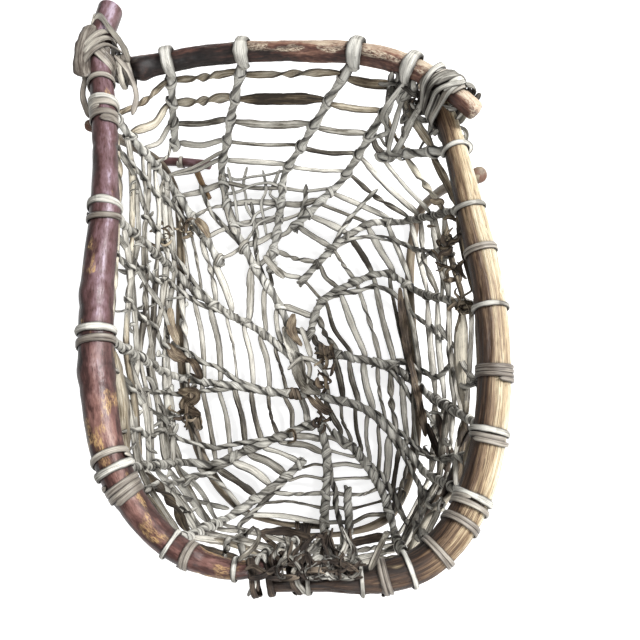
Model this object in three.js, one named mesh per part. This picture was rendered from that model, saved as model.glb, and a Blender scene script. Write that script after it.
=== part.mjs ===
// Twig basket: a rim of two bent rods and a crossbar, a lower bow of thinner rods,
// and an openwork net of twined cords between them. Millimetres, +Z up.
// Plan places are measured from the middle of the rim, X to the right and Y towards the
// crossbar, in hundredths of the width and the length that the rods take up with their ends.
// The finished basket is centred over the origin and stands on Z = 0.

import * as THREE from 'three';

// Driving dimensions
const RIM_WIDTH = 400;
const RIM_LENGTH = 540;
const RIM_HEIGHT = 206;
const LEFT_ROD_DIAMETER = 25;
const RIGHT_ROD_DIAMETER = 26;
const CROSSBAR_DIAMETER = 20;
const BASE_ROD_DIAMETER = 11;
const RAIL_DIAMETER = 12;
const STICK_DIAMETER = 8;
const STAND_FLAT = 0.5;
const CLEARANCE = 0.35;

// The cords of the net: two flat strands twine round each warp
const STRAND_WIDTH = 4.2;
const STRAND_THICKNESS = 1.6;
const WARP_WIDTH = 4;
const WARP_THICKNESS = 2.2;
const CORNER_RADIUS = 14;
const FIRST_WARP_DROP = 31;
const WALL_WARP_COUNT = 5;
const FLOOR_WARP_COUNT = 8;
const SHORTEST_HALF_TURN = 15;
const WARP_SLANT = 0.4;
const TWIST_SWELL = 0.6;
const CORNER_MARGIN = 6;
const TAIL = 7;
const LOOP_STEPS = 9;

// Flat bark strips that bind the rods
const BINDING_WIDTH = 5;
const BINDING_THICKNESS = 1.5;
const LASHING_WIDTH = 6;
const KNOT_WIDTH = 4;
const HUB_STRIP_WIDTH = 14;
const HUB_STRIP_THICKNESS = 1.6;

const WIND_STEPS = 12;
const WIND_GAP = 0.65;
const WIND_START = 0.4;
const BEND_SPARE = 0.15;
const RISE_SPARE = 0.6;
const CORNER_SPARE = 4;
const CROSSING_SPARE = 1.5;
const FRONT_SPARE = 0.8;
const LAYER_SPARE = 1.6;
const RINGS_APART = 6;

// Facets of the rods, and how their cut ends are rounded
const ROD_STEPS = 28;
const ROD_SIDES = 9;
const THIN_ROD_SIDES = 8;
const END_LENGTH = 0.4;
const END_SHRINK = 0.62;
const TIP_RISE = 0.8;
const CORNER_RISE = 15;

// Sizes that follow from those above
const LEFT_RADIUS = LEFT_ROD_DIAMETER / 2;
const RIGHT_RADIUS = RIGHT_ROD_DIAMETER / 2;
const CROSSBAR_RADIUS = CROSSBAR_DIAMETER / 2;
const BASE_RADIUS = BASE_ROD_DIAMETER / 2;
const TIE_ROOM = BINDING_THICKNESS + 2 * CLEARANCE + RISE_SPARE;
const CROSS_LAYER = BINDING_THICKNESS + CLEARANCE + LAYER_SPARE;
const LAST_WARP = WALL_WARP_COUNT + FLOOR_WARP_COUNT;
const ROW_HALF_HEIGHT = twistRadius(SHORTEST_HALF_TURN) + STRAND_THICKNESS / 2;
const HALF_PASS = ROW_HALF_HEIGHT + CLEARANCE;
const PAIR_RADIUS = Math.hypot(ROW_HALF_HEIGHT, STRAND_WIDTH / 2);
const GROUND = -RIM_HEIGHT;
const BASE_LEVEL = GROUND + BASE_RADIUS - STAND_FLAT;
const BASE_TOP = BASE_LEVEL + BASE_RADIUS * Math.cos(Math.PI / THIN_ROD_SIDES);
const NET_FLOOR = BASE_TOP + CLEARANCE + ROW_HALF_HEIGHT;
const BASE_END_DROP = LEFT_RADIUS + BASE_RADIUS + BINDING_THICKNESS + 2 * CLEARANCE;
const RAIL_LEVEL = GROUND + RAIL_DIAMETER / 2 + TIE_ROOM;
const STICK_LEVEL = NET_FLOOR - WARP_THICKNESS / 2 - TIE_ROOM + RISE_SPARE - STICK_DIAMETER / 2;
const UNDER_LEFT = -(LEFT_RADIUS + CROSSBAR_RADIUS + CLEARANCE);
const OVER_RIGHT = RIGHT_RADIUS + CROSSBAR_RADIUS + CLEARANCE;

const COLOURS = {
  redBark: { color: 0x6d4743, roughness: 0.62 },
  peeledWood: { color: 0xa9814f, roughness: 0.58 },
  darkBark: { color: 0x4c332b, roughness: 0.7 },
  tanWood: { color: 0x8d6c49, roughness: 0.65 },
  twinedCord: { color: 0x8f887c, roughness: 0.85 },
  warpStrip: { color: 0x8a8070, roughness: 0.85 },
  binding: { color: 0xb9b3a8, roughness: 0.75 },
  darkFibre: { color: 0x4a4038, roughness: 0.9 },
};

const basket = new THREE.Group();

// How far a strand's middle lies from its row's middle line, so that it clears the warp
// where the twist makes a half turn in the length given
function twistRadius(halfTurn) {
  const share = (WARP_WIDTH + 2 * WARP_SLANT) / halfTurn;
  const needed = WARP_THICKNESS / 2 + CLEARANCE + share * STRAND_WIDTH / 2;
  return TWIST_SWELL + needed / (1 - share) + STRAND_THICKNESS / 2;
}

function vector(x, y, z = 0) {
  return new THREE.Vector3(x, y, z);
}

// A plan place in hundredths of the rim's width and length, at a height from the rim's middle
function planPoint(across, along, z = 0) {
  return vector(across / 100 * RIM_WIDTH, along / 100 * RIM_LENGTH, z);
}

function addPiece(name, geometry, finish) {
  const look = COLOURS[finish];
  const material = new THREE.MeshStandardMaterial({ ...look, metalness: 0 });
  const mesh = new THREE.Mesh(geometry, material);
  mesh.name = name;
  basket.add(mesh);
  return mesh;
}

// Splits a twisted four-sided face along the diagonal that stands further out
function fullerQuad(vertices, a, b, c, d) {
  const [p, q, r, s] = [a, b, c, d].map((index) => vertices[index]);
  const out = r.clone().sub(p).cross(s.clone().sub(q));
  const rise = p.clone().add(r).sub(q).sub(s).dot(out);
  return rise >= 0 ? [a, b, c, a, c, d] : [a, b, d, b, c, d];
}

// Joins rings of points into one closed surface. Each ring runs anticlockwise about
// the way to the next one.
function loft(rings, closed = false) {
  const sides = rings[0].length;
  const vertices = rings.flat();
  const indices = [];
  const spans = closed ? rings.length : rings.length - 1;
  for (let j = 0; j < spans; j += 1) {
    const here = j * sides;
    const next = ((j + 1) % rings.length) * sides;
    for (let i = 0; i < sides; i += 1) {
      const k = (i + 1) % sides;
      indices.push(...fullerQuad(vertices, here + i, here + k, next + k, next + i));
    }
  }
  if (!closed) {
    const end = (rings.length - 1) * sides;
    for (let i = 1; i < sides - 1; i += 1) {
      indices.push(0, i + 1, i);
      indices.push(end, end + i, end + i + 1);
    }
  }
  const geometry = new THREE.BufferGeometry().setFromPoints(vertices);
  geometry.setIndex(indices);
  return geometry;
}

// The least gap between stretches of one winding that lie over a few rings apart,
// measured on the corners and edge middles of its rings and halfway to the next ring
const selfGaps = { winding: Infinity, twining: Infinity };
function measureSelfGap(rings, kind) {
  const points = rings.flatMap((ring, i) => {
    const next = rings[Math.min(i + 1, rings.length - 1)];
    const halfway = ring.map((point, j) => point.clone().lerp(next[j], 0.5));
    return [ring, halfway].flatMap((round) => round.flatMap((point, j) => {
      const edgeMiddle = point.clone().lerp(round[(j + 1) % round.length], 0.5);
      return [{ place: point, i }, { place: edgeMiddle, i }];
    }));
  });
  for (const a of points) {
    for (const b of points) {
      if (b.i - a.i >= RINGS_APART) {
        selfGaps[kind] = Math.min(selfGaps[kind], a.place.distanceTo(b.place));
      }
    }
  }
}

// A flat strip's section: thick along the vector out, wide across the strip's run
function stripSection(centre, out, run, width, thickness) {
  const across = run.clone().cross(out).normalize();
  const corners = [[1, 1], [-1, 1], [-1, -1], [1, -1]];
  return corners.map(([a, b]) => centre.clone()
    .addScaledVector(out, a * thickness / 2)
    .addScaledVector(across, b * width / 2));
}

// Straight-line reading between [place, value] pairs
function readBetween(pairs, place) {
  let low = pairs[0];
  for (const high of pairs) {
    if (place <= high[0]) {
      const span = high[0] - low[0];
      return span === 0 ? high[1] : low[1] + (high[1] - low[1]) * (place - low[0]) / span;
    }
    low = high;
  }
  return low[1];
}

// Normals that turn as little as they can along a line of points
function carriedFrames(points) {
  const frames = [];
  let normal = null;
  points.forEach((point, i) => {
    const before = points[Math.max(i - 1, 0)];
    const after = points[Math.min(i + 1, points.length - 1)];
    const run = after.clone().sub(before).normalize();
    if (!normal) {
      normal = Math.abs(run.z) > 0.9 ? vector(1, 0) : vector(0, 0, 1);
    }
    normal = normal.clone().addScaledVector(run, -normal.dot(run)).normalize();
    frames.push({ run, normal, side: run.clone().cross(normal) });
  });
  return frames;
}

// A bent rod of round section. girth gives its share of the diameter along its length.
function bentRod(points, diameter, girth, steps, sides, floor = GROUND) {
  const curve = new THREE.CatmullRomCurve3(points, false, 'centripetal');
  const centres = curve.getSpacedPoints(steps);
  const frames = carriedFrames(centres);
  const radii = centres.map((_, i) => diameter / 2 * readBetween(girth, i / steps));
  const ringAt = (centre, frame, radius) => {
    const ring = [];
    for (let i = 0; i < sides; i += 1) {
      const angle = 2 * Math.PI * (i + 0.5) / sides;
      const point = centre.clone()
        .addScaledVector(frame.normal, radius * Math.cos(angle))
        .addScaledVector(frame.side, radius * Math.sin(angle));
      point.z = Math.max(point.z, floor);
      ring.push(point);
    }
    return ring;
  };
  const rings = centres.map((centre, i) => ringAt(centre, frames[i], radii[i]));
  const roundEnd = (i, sign) => {
    const tip = centres[i].clone().addScaledVector(frames[i].run, sign * radii[i] * END_LENGTH);
    return ringAt(tip, frames[i], radii[i] * END_SHRINK);
  };
  rings.unshift(roundEnd(0, -1));
  rings.push(roundEnd(steps, 1));
  return { centres, radii, geometry: loft(rings) };
}

// The place on a rod that lies nearest a plan point
function rodStation(rod, { x, y }) {
  let best = null;
  for (let i = 0; i < rod.centres.length - 1; i += 1) {
    const a = rod.centres[i];
    const b = rod.centres[i + 1];
    const span = b.clone().sub(a);
    const flat = span.x * span.x + span.y * span.y;
    const raw = ((x - a.x) * span.x + (y - a.y) * span.y) / Math.max(flat, 1e-6);
    const share = Math.min(Math.max(raw, 0), 1);
    const centre = a.clone().addScaledVector(span, share);
    const distance = Math.hypot(centre.x - x, centre.y - y);
    if (!best || distance < best.distance) {
      const radius = rod.radii[i] + (rod.radii[i + 1] - rod.radii[i]) * share;
      best = { centre, radius, along: span.normalize(), distance };
    }
  }
  return best;
}

// Rim: the left rod keeps its bark and stands past the crossbar
const leftRod = bentRod(
  [
    planPoint(-52.5, 60.4), planPoint(-54, 51.5), planPoint(-51, 39.3), planPoint(-47.8, 19.8),
    planPoint(-47, 3.3), planPoint(-44.2, -12.2), planPoint(-39.2, -23), planPoint(-28.7, -32),
    planPoint(-16.5, -35.6), planPoint(-6, -34.6),
  ],
  LEFT_ROD_DIAMETER,
  [[0, 0.94], [0.1, 0.88], [0.3, 0.9], [0.42, 1.06], [0.62, 1.12], [0.74, 1], [0.88, 0.72], [1, 0.36]],
  ROD_STEPS,
  ROD_SIDES,
);
addPiece('rim_rod_left', leftRod.geometry, 'redBark');

// Rim: the right rod is peeled, and passes under the crossbar's end
const rightRod = bentRod(
  [
    planPoint(27, 41.9), planPoint(29.5, 36.5), planPoint(33.2, 19.8), planPoint(35.8, 2),
    planPoint(34, -14.8), planPoint(28.2, -27.6), planPoint(20.2, -34.3), planPoint(11, -36.7),
    planPoint(1, -37.2), planPoint(-8.5, -37.6),
  ],
  RIGHT_ROD_DIAMETER,
  [[0, 0.72], [0.15, 0.86], [0.3, 0.98], [0.55, 1.04], [0.75, 1], [0.86, 0.86], [0.93, 0.55], [1, 0.4]],
  ROD_STEPS,
  ROD_SIDES,
);
addPiece('rim_rod_right', rightRod.geometry, 'peeledWood');

// Crossbar: under the left rod, over the right one
const crossbar = bentRod(
  [
    planPoint(-55.5, 50.4, UNDER_LEFT), planPoint(-45.2, 51.3, UNDER_LEFT),
    planPoint(-27.5, 52.8, UNDER_LEFT * 0.7), planPoint(-5, 51.1, 0),
    planPoint(14.8, 46.9, OVER_RIGHT * 0.7), planPoint(28, 40.2, OVER_RIGHT),
    planPoint(34.5, 35, OVER_RIGHT),
  ],
  CROSSBAR_DIAMETER,
  [[0, 1.02], [0.15, 1], [0.5, 0.96], [0.8, 1], [1, 0.86]],
  18,
  ROD_SIDES,
);
addPiece('crossbar', crossbar.geometry, 'darkBark');

// Lower bow: two thin rods that hang from the rim, turn along the ground and meet in front
const BASE_GIRTH = [[0, 0.48], [0.1, 0.55], [0.18, 1], [1, 1]];
const baseLeft = bentRod(
  [
    planPoint(1, -30.9, BASE_LEVEL + TIP_RISE), planPoint(-11.5, -30, BASE_LEVEL),
    planPoint(-21.8, -27.2, BASE_LEVEL), planPoint(-32, -18, BASE_LEVEL),
    planPoint(-36, -10.4, BASE_LEVEL), planPoint(-39, -1.5, BASE_LEVEL),
    planPoint(-41, 9.3, BASE_LEVEL), planPoint(-42, 21.1, BASE_LEVEL),
    planPoint(-45.5, 42.6, BASE_LEVEL), planPoint(-50, 49.1, BASE_LEVEL + CORNER_RISE),
    planPoint(-54.2, 48.5, -0.7 * RIM_HEIGHT), planPoint(-56.2, 43.7, -0.39 * RIM_HEIGHT),
    planPoint(-55.8, 38, -BASE_END_DROP),
  ],
  BASE_ROD_DIAMETER,
  BASE_GIRTH,
  ROD_STEPS,
  THIN_ROD_SIDES,
);
addPiece('base_rod_left', baseLeft.geometry, 'darkBark');

const baseRight = bentRod(
  [
    planPoint(-9, -32.6, BASE_LEVEL + TIP_RISE), planPoint(7.5, -31.9, BASE_LEVEL),
    planPoint(18.2, -28.9, BASE_LEVEL), planPoint(25.5, -18.3, BASE_LEVEL),
    planPoint(27.5, -3.3, BASE_LEVEL), planPoint(27, 18.9, BASE_LEVEL),
    planPoint(28.5, 30.6, BASE_LEVEL),
    planPoint(30.5, 36.7, BASE_LEVEL + CORNER_RISE), planPoint(33.5, 37, -0.7 * RIM_HEIGHT),
    planPoint(36.5, 33, -0.39 * RIM_HEIGHT),
    planPoint(37.5, 27.8, -BASE_END_DROP),
  ],
  BASE_ROD_DIAMETER,
  BASE_GIRTH,
  ROD_STEPS,
  THIN_ROD_SIDES,
);
addPiece('base_rod_right', baseRight.geometry, 'tanWood');

// Far corner: a short bark rod on the ground outside the net, and a peeled stick inward of it
const rail = bentRod(
  [
    planPoint(-54, 51.7, RAIL_LEVEL), planPoint(-45, 51.5, RAIL_LEVEL),
    planPoint(-35.5, 50.7, RAIL_LEVEL),
  ],
  RAIL_DIAMETER,
  [[0, 0.92], [1, 1]],
  8,
  THIN_ROD_SIDES,
);
addPiece('corner_rail', rail.geometry, 'redBark');

const stick = bentRod(
  [
    planPoint(-39.8, 49.5, STICK_LEVEL), planPoint(-37.5, 45.6, STICK_LEVEL),
    planPoint(-35, 41.9, STICK_LEVEL),
  ],
  STICK_DIAMETER,
  [[0, 1], [1, 0.9]],
  6,
  THIN_ROD_SIDES,
);
addPiece('corner_stick', stick.geometry, 'tanWood');

// The net. Each row starts in a loop round the rim at the plan place rim, comes down the
// wall to foot, and runs over the floor through the places in floor. It ends past the
// warp numbered last. The rows are listed the way the warps run, anticlockwise from the left.
const ROWS = [
  { rod: leftRod, rim: [-47.8, 19.4], foot: [-44, 23.1], last: LAST_WARP,
    floor: [[-36, 17.4], [-27.5, 13.3], [-18.2, 9.3], [-7.5, 3]] },
  { rod: leftRod, rim: [-46.8, -1.9], foot: [-42.5, -0.9], last: LAST_WARP,
    floor: [[-29, -2.6], [-15, -4.1], [-5, -4.8]] },
  { rod: leftRod, rim: [-39.5, -22.6], foot: [-37.5, -18.5], last: LAST_WARP,
    floor: [[-29, -18.9], [-16.8, -15.2], [-7.8, -12.6], [-3, -11.1]] },
  { rod: leftRod, rim: [-28, -32.4], foot: [-25, -29.6], last: LAST_WARP - 3,
    floor: [[-18.5, -26.3], [-11, -22.6], [-5.5, -18.9]] },
  { rod: leftRod, rim: [-15.5, -35.7], foot: [-2.5, -32.6], last: WALL_WARP_COUNT - 1, floor: [] },
  { rod: rightRod, rim: [-2, -37], foot: [1, -33.7], last: LAST_WARP,
    floor: [[1.5, -24.3], [2, -18.1], [0.5, -11.1]] },
  { rod: rightRod, rim: [7.5, -36.9], foot: [7.5, -33.7], last: WALL_WARP_COUNT + 3,
    floor: [[7.5, -24.8]] },
  { rod: rightRod, rim: [16.5, -35.7], foot: [19.5, -31.9], last: LAST_WARP,
    floor: [[16.8, -24.3], [10.5, -17], [5, -13.3]] },
  { rod: rightRod, rim: [29.5, -26.3], foot: [28.5, -20.7], last: LAST_WARP,
    floor: [[22, -14.8], [12.5, -7.8], [2, -5.6]] },
  { rod: rightRod, rim: [33.5, -17.2], foot: [31, -5.2], last: LAST_WARP,
    floor: [[22, 0.4], [11, 2.8], [0.5, 4.4]] },
  { rod: rightRod, rim: [35.8, 1.9], foot: [30.2, 17.4], last: LAST_WARP,
    floor: [[19.8, 22.2], [9.5, 20], [0.5, 15.6], [-3, 8.1]] },
  { rod: rightRod, rim: [33.2, 19.3], foot: [26, 35.2], last: LAST_WARP - 2,
    floor: [[15.5, 34.4], [4.5, 28.9], [-5, 20.7]] },
  { rod: rightRod, rim: [30.2, 30.4], foot: [5.2, 51.3], last: 3, floor: [] },
  { rod: crossbar, rim: [21, 44.1], foot: [7, 45.6], last: WALL_WARP_COUNT + 4,
    floor: [[0, 40], [-7, 34.1]] },
  { rod: crossbar, rim: [9, 48.5], foot: [-11.5, 47.4], last: LAST_WARP - 2,
    floor: [[-12.5, 37], [-14.5, 23.7]] },
  { rod: crossbar, rim: [-19, 52.6], foot: [-31.5, 48.5], last: LAST_WARP,
    floor: [[-28, 37], [-20, 24.4], [-13, 16.3], [-8.5, 8.9]] },
  { rod: crossbar, rim: [-38, 52], foot: [-45.5, 47.8], last: WALL_WARP_COUNT - 1, floor: [] },
  { rod: leftRod, rim: [-51, 39.6], foot: [-46.5, 44.4], last: WALL_WARP_COUNT + 4,
    floor: [[-37.5, 34.1], [-30.5, 25.6]] },
];

// A row's middle line: a straight wall, a rounded corner and a curved run over the floor
function rowAxis(row) {
  const station = rodStation(row.rod, planPoint(...row.rim));
  const start = station.centre;
  const foot = planPoint(...row.foot, NET_FLOOR);
  const wallWay = start.clone().sub(foot).normalize();
  const wallEnd = foot.clone().addScaledVector(wallWay, CORNER_RADIUS);
  const points = [start, wallEnd];
  const marks = [start.distanceTo(wallEnd)];
  if (row.floor.length > 0) {
    const floorPoints = row.floor.map((share) => planPoint(...share, NET_FLOOR));
    const floorWay = floorPoints[0].clone().sub(foot).normalize();
    const floorStart = foot.clone().addScaledVector(floorWay, CORNER_RADIUS);
    const corner = new THREE.QuadraticBezierCurve3(wallEnd, foot, floorStart);
    points.push(...corner.getPoints(6).slice(1));
    marks.push(marks[0] + corner.getLength());
    const floorLine = [floorStart, ...floorPoints];
    const run = new THREE.CatmullRomCurve3(floorLine, false, 'centripetal');
    points.push(...run.getPoints(40).slice(1));
    marks.push(marks[1] + run.getLength());
  } else {
    points.push(foot);
  }
  const lengths = [0];
  for (let i = 1; i < points.length; i += 1) {
    lengths.push(lengths[i - 1] + points[i].distanceTo(points[i - 1]));
  }
  const total = lengths[lengths.length - 1];
  const at = (s) => {
    let i = 1;
    while (i < points.length - 1 && lengths[i] < s) {
      i += 1;
    }
    const share = (s - lengths[i - 1]) / (lengths[i] - lengths[i - 1]);
    return points[i - 1].clone().lerp(points[i], share);
  };
  const way = (s) => at(s + 2).sub(at(s - 2)).normalize();
  return { station, marks, total, at, way };
}

// How far along its middle line a row meets each warp
function warpPlaces(row, axis) {
  const places = [];
  const wall = axis.marks[0] - CORNER_MARGIN;
  const first = FIRST_WARP_DROP * wall / (RIM_HEIGHT - CORNER_RADIUS);
  const floor = axis.marks[1] + CORNER_MARGIN;
  const floorGap = (axis.marks[2] - floor) / Math.max(row.last - WALL_WARP_COUNT - 1, 1);
  for (let k = 1; k <= row.last; k += 1) {
    if (k <= WALL_WARP_COUNT) {
      places.push(first + (wall - first) * (k - 1) / (WALL_WARP_COUNT - 1));
    } else {
      places.push(floor + floorGap * (k - WALL_WARP_COUNT - 1));
    }
  }
  return places;
}

for (const row of ROWS) {
  row.axis = rowAxis(row);
  row.places = warpPlaces(row, row.axis);
  row.reaches = row.places.map((place, i) => {
    const before = i > 0 ? place - row.places[i - 1] : Infinity;
    const after = i < row.last - 1 ? row.places[i + 1] - place : Infinity;
    return twistRadius(Math.min(before, after));
  });
}

// Warps: one closed strip at each level. It passes square through the twist of each row
// and runs straight from row to row.
function warpSections(k) {
  const rows = ROWS.filter((row) => row.last >= k);
  const centres = rows.map((row) => row.axis.at(row.places[k - 1]));
  return rows.flatMap((row, i) => {
    const before = centres[(i + rows.length - 1) % rows.length];
    const after = centres[(i + 1) % rows.length];
    const back = centres[i].clone().sub(before).normalize();
    const run = after.clone().sub(centres[i]).normalize().add(back).normalize();
    const down = row.axis.way(row.places[k - 1]);
    const out = down.clone().cross(run).normalize();
    row.outs = row.outs ?? [];
    row.outs[k] = out;
    const square = out.clone().cross(down).normalize();
    return [-1, 1].map((end) => stripSection(
      centres[i].clone().addScaledVector(square, end * HALF_PASS),
      out, square, WARP_WIDTH, WARP_THICKNESS));
  });
}

for (let k = 1; k <= LAST_WARP; k += 1) {
  const number = String(k).padStart(2, '0');
  addPiece(`warp_${number}`, loft(warpSections(k), true), 'warpStrip');
}

// One strand of a twined pair: a quarter turn from each warp to the middle of the next gap
function strandSections(row, sign) {
  const { axis, places, outs } = row;
  const sections = [];
  const push = (s, out, turn, way, reach) => {
    const side = way.clone().cross(out).normalize();
    const flatOut = side.clone().cross(way).normalize();
    const radial = flatOut.multiplyScalar(Math.cos(turn)).addScaledVector(side, Math.sin(turn));
    radial.multiplyScalar(sign);
    const centre = s.clone().addScaledVector(radial, reach);
    sections.push({ centre, radial, way });
  };
  for (let k = 1; k <= row.last; k += 1) {
    const here = places[k - 1];
    const reach = row.reaches[k - 1];
    push(axis.at(here), outs[k], Math.PI * (k - 1), axis.way(here), reach);
    if (k < row.last) {
      const middle = (here + places[k]) / 2;
      const out = outs[k].clone().add(outs[k + 1]).normalize();
      const share = (reach + row.reaches[k]) / 2;
      push(axis.at(middle), out, Math.PI * (k - 0.5), axis.way(middle), share);
    } else {
      const way = axis.way(here - 2);
      const tip = axis.at(here).addScaledVector(way, TAIL);
      push(tip, outs[k], Math.PI * (k - 1), way, reach);
    }
  }
  return sections;
}

// A row is one cord folded over the rim: down one strand, round the rod, and back
function twinedRow(row) {
  const { centre, along, radius } = row.axis.station;
  const firstWarp = row.axis.at(row.places[0]);
  const down = firstWarp.clone().sub(centre);
  down.addScaledVector(along, -down.dot(along));
  const drop = down.length();
  down.normalize();
  const out = down.clone().cross(along).normalize();
  if (out.dot(row.outs[1]) < 0) {
    out.negate();
  }
  const halfStep = Math.PI / LOOP_STEPS * 0.7;
  const ring = (radius + CLEARANCE) / Math.cos(halfStep) + STRAND_THICKNESS / 2;
  const from = Math.atan2(row.reaches[0], drop) + Math.acos(ring / drop);
  const outward = strandSections(row, 1).reverse();
  const rings = outward.map(({ centre: c, radial, way }) => stripSection(
    c, radial, way.clone().negate(), STRAND_WIDTH, STRAND_THICKNESS));
  for (let i = 0; i <= LOOP_STEPS; i += 1) {
    const angle = from + (2 * Math.PI - 2 * from) * i / LOOP_STEPS;
    const radial = down.clone().multiplyScalar(Math.cos(angle))
      .addScaledVector(out, Math.sin(angle));
    const run = out.clone().multiplyScalar(Math.cos(angle))
      .addScaledVector(down, -Math.sin(angle));
    const place = centre.clone().addScaledVector(radial, ring);
    rings.push(stripSection(place, radial, run, STRAND_WIDTH, STRAND_THICKNESS));
  }
  rings.push(...strandSections(row, -1).map(({ centre: c, radial, way }) => stripSection(
    c, radial, way, STRAND_WIDTH, STRAND_THICKNESS)));
  measureSelfGap(rings, 'twining');
  return loft(rings);
}

ROWS.forEach((row, i) => {
  const number = String(i + 1).padStart(2, '0');
  addPiece(`twined_row_${number}`, twinedRow(row), 'twinedCord');
});

// A strip wound round one or two rods. It follows the tight loop round their sections and
// moves along the axis by one pitch in each turn.
function wound({ middle, axis, across, rods, turns, layer = 0, width = BINDING_WIDTH }) {
  const up = axis.clone().cross(across).normalize();
  const steps = Math.round(WIND_STEPS * turns);
  const pitch = width + WIND_GAP;
  const cornerCut = 1 / Math.cos(Math.PI / WIND_STEPS) - 1;
  const gap = CLEARANCE + BINDING_THICKNESS / 2 + layer;
  const rings = [];
  for (let i = 0; i <= steps; i += 1) {
    const angle = 2 * Math.PI * i / WIND_STEPS + WIND_START;
    const drift = pitch * (i / WIND_STEPS - turns / 2);
    const u = [Math.cos(angle), Math.sin(angle)];
    const way = across.clone().multiplyScalar(u[0]).addScaledVector(up, u[1]);
    let best = null;
    for (const { centre, along, wide, high } of rods) {
      const slide = along.clone().multiplyScalar(drift / along.dot(axis));
      const place = centre.clone().add(slide);
      const reach = Math.hypot(wide * u[0], high * u[1]);
      const edge = place.clone()
        .addScaledVector(across, wide * wide * u[0] / reach)
        .addScaledVector(up, high * high * u[1] / reach);
      const height = edge.clone().sub(middle).dot(way);
      if (!best || height > best.height) {
        best = { edge, height, grow: reach * cornerCut };
      }
    }
    const point = best.edge.addScaledVector(way, gap + best.grow);
    const run = up.clone().multiplyScalar(u[0]).addScaledVector(across, -u[1]);
    rings.push(stripSection(point, way, run, width, BINDING_THICKNESS));
  }
  measureSelfGap(rings, 'winding');
  return loft(rings);
}

// Round one rod, square to it
function bindingRound(rod, spot, turns) {
  const { centre, radius, along } = rodStation(rod, spot);
  const across = along.clone().cross(vector(0, 0, 1)).normalize();
  const reach = radius + BEND_SPARE;
  const rods = [{ centre, along, wide: reach, high: reach }];
  return wound({ middle: centre, axis: along, across, rods, turns });
}

// Round two rods that lie side by side or one over the other, square to the first
function bindingRoundTwo(rodA, rodB, spot, turns, spare = 0, width = BINDING_WIDTH) {
  const a = rodStation(rodA, spot);
  const b = rodStation(rodB, spot);
  const axis = a.along.clone();
  const facing = b.along.dot(axis) < 0 ? b.along.clone().negate() : b.along;
  const across = axis.clone().cross(vector(0, 0, 1)).normalize();
  const rods = [
    { centre: a.centre, along: axis, wide: a.radius + spare, high: a.radius + RISE_SPARE },
    { centre: b.centre, along: facing, wide: b.radius + spare, high: b.radius + RISE_SPARE },
  ];
  const middle = a.centre.clone().add(b.centre).multiplyScalar(0.5);
  return wound({ middle, axis, across, rods, turns, width });
}

// Extra bindings along the rim
const BINDINGS = [
  ['left_top', leftRod, -50.2, 36.5], ['left_low', leftRod, -37.5, -25],
  ['left_bend', leftRod, -24.2, -33.9], ['right_top', rightRod, 34.2, 11.5],
  ['right_middle', rightRod, 35.8, -7.8], ['right_low', rightRod, 26, -29.6],
  ['right_bend', rightRod, 21.5, -33.5], ['right_end', rightRod, 11.8, -36.7],
];
for (const [name, rod, across, along] of BINDINGS) {
  addPiece(`rim_binding_${name}`, bindingRound(rod, planPoint(across, along), 2), 'binding');
}

// Left corner: two windings cross over the left rod and under the crossbar's end
const leftMeet = rodStation(leftRod, planPoint(-53.2, 50.6));
const barMeet = rodStation(crossbar, leftMeet.centre);
const cornerMiddle = leftMeet.centre.clone().add(barMeet.centre).multiplyScalar(0.5);
[[1, 0], [-1, CROSS_LAYER]].forEach(([hand, layer], i) => {
  const across = leftMeet.along.clone().addScaledVector(barMeet.along, hand);
  across.z = 0;
  across.normalize();
  const axis = across.clone().cross(vector(0, 0, 1));
  const rods = [leftMeet, barMeet].map(({ centre, along, radius }) => {
    const wide = radius * Math.SQRT2 + LASHING_WIDTH / 2 + CROSSING_SPARE;
    return { centre, along, wide, high: radius + RISE_SPARE };
  });
  const geometry = wound({
    middle: cornerMiddle, axis, across, rods, turns: 2, layer, width: LASHING_WIDTH,
  });
  addPiece(`corner_lashing_left_${i + 1}`, geometry, 'binding');
});

// Right corner: the crossbar's end lies along the right rod's top
[planPoint(26.7, 41.1), planPoint(28.8, 38)].forEach((spot, i) => {
  const geometry = bindingRoundTwo(rightRod, crossbar, spot, 2, CORNER_SPARE, LASHING_WIDTH);
  addPiece(`corner_lashing_right_${i + 1}`, geometry, 'binding');
});

// Rod ends that lie side by side in front, on the rim and on the ground
const rimFront = bindingRoundTwo(leftRod, rightRod, planPoint(-7.5, -36.1), 2, FRONT_SPARE);
addPiece('front_lashing_rim', rimFront, 'darkFibre');
const baseFront = bindingRoundTwo(baseLeft, baseRight, planPoint(-4, -31.9), 2, FRONT_SPARE);
addPiece('front_lashing_base', baseFront, 'darkFibre');

// Dark knots round row ends at the hub, and a flat strip that lies curled over them
function knotRound(row, turns) {
  const near = row.places[row.last - 1];
  const far = row.places[row.last - 2];
  const centre = row.axis.at((near + far) / 2);
  const along = row.axis.way((near + far) / 2);
  const across = along.clone().cross(vector(0, 0, 1)).normalize();
  const rods = [{ centre, along, wide: PAIR_RADIUS, high: PAIR_RADIUS }];
  return wound({ middle: centre, axis: along, across, rods, turns, width: KNOT_WIDTH });
}
addPiece('hub_knot_1', knotRound(ROWS[9], 1.5), 'darkFibre');
addPiece('hub_knot_2', knotRound(ROWS[1], 2), 'darkFibre');

function hubStrip() {
  const level = NET_FLOOR + ROW_HALF_HEIGHT + CLEARANCE + HUB_STRIP_THICKNESS / 2;
  const line = new THREE.CatmullRomCurve3([
    planPoint(-10.5, 9.3, level + 5), planPoint(-9, 6.7, level), planPoint(-6.5, 2.2, level),
    planPoint(-5, -1.9, level), planPoint(-2, -4.4, level + 2), planPoint(0, -5.2, level + 6),
  ], false, 'centripetal');
  const centres = line.getSpacedPoints(12);
  return loft(carriedFrames(centres).map(({ run, normal }, i) => stripSection(
    centres[i], normal, run, HUB_STRIP_WIDTH, HUB_STRIP_THICKNESS)));
}
addPiece('hub_strip', hubStrip(), 'warpStrip');

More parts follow.
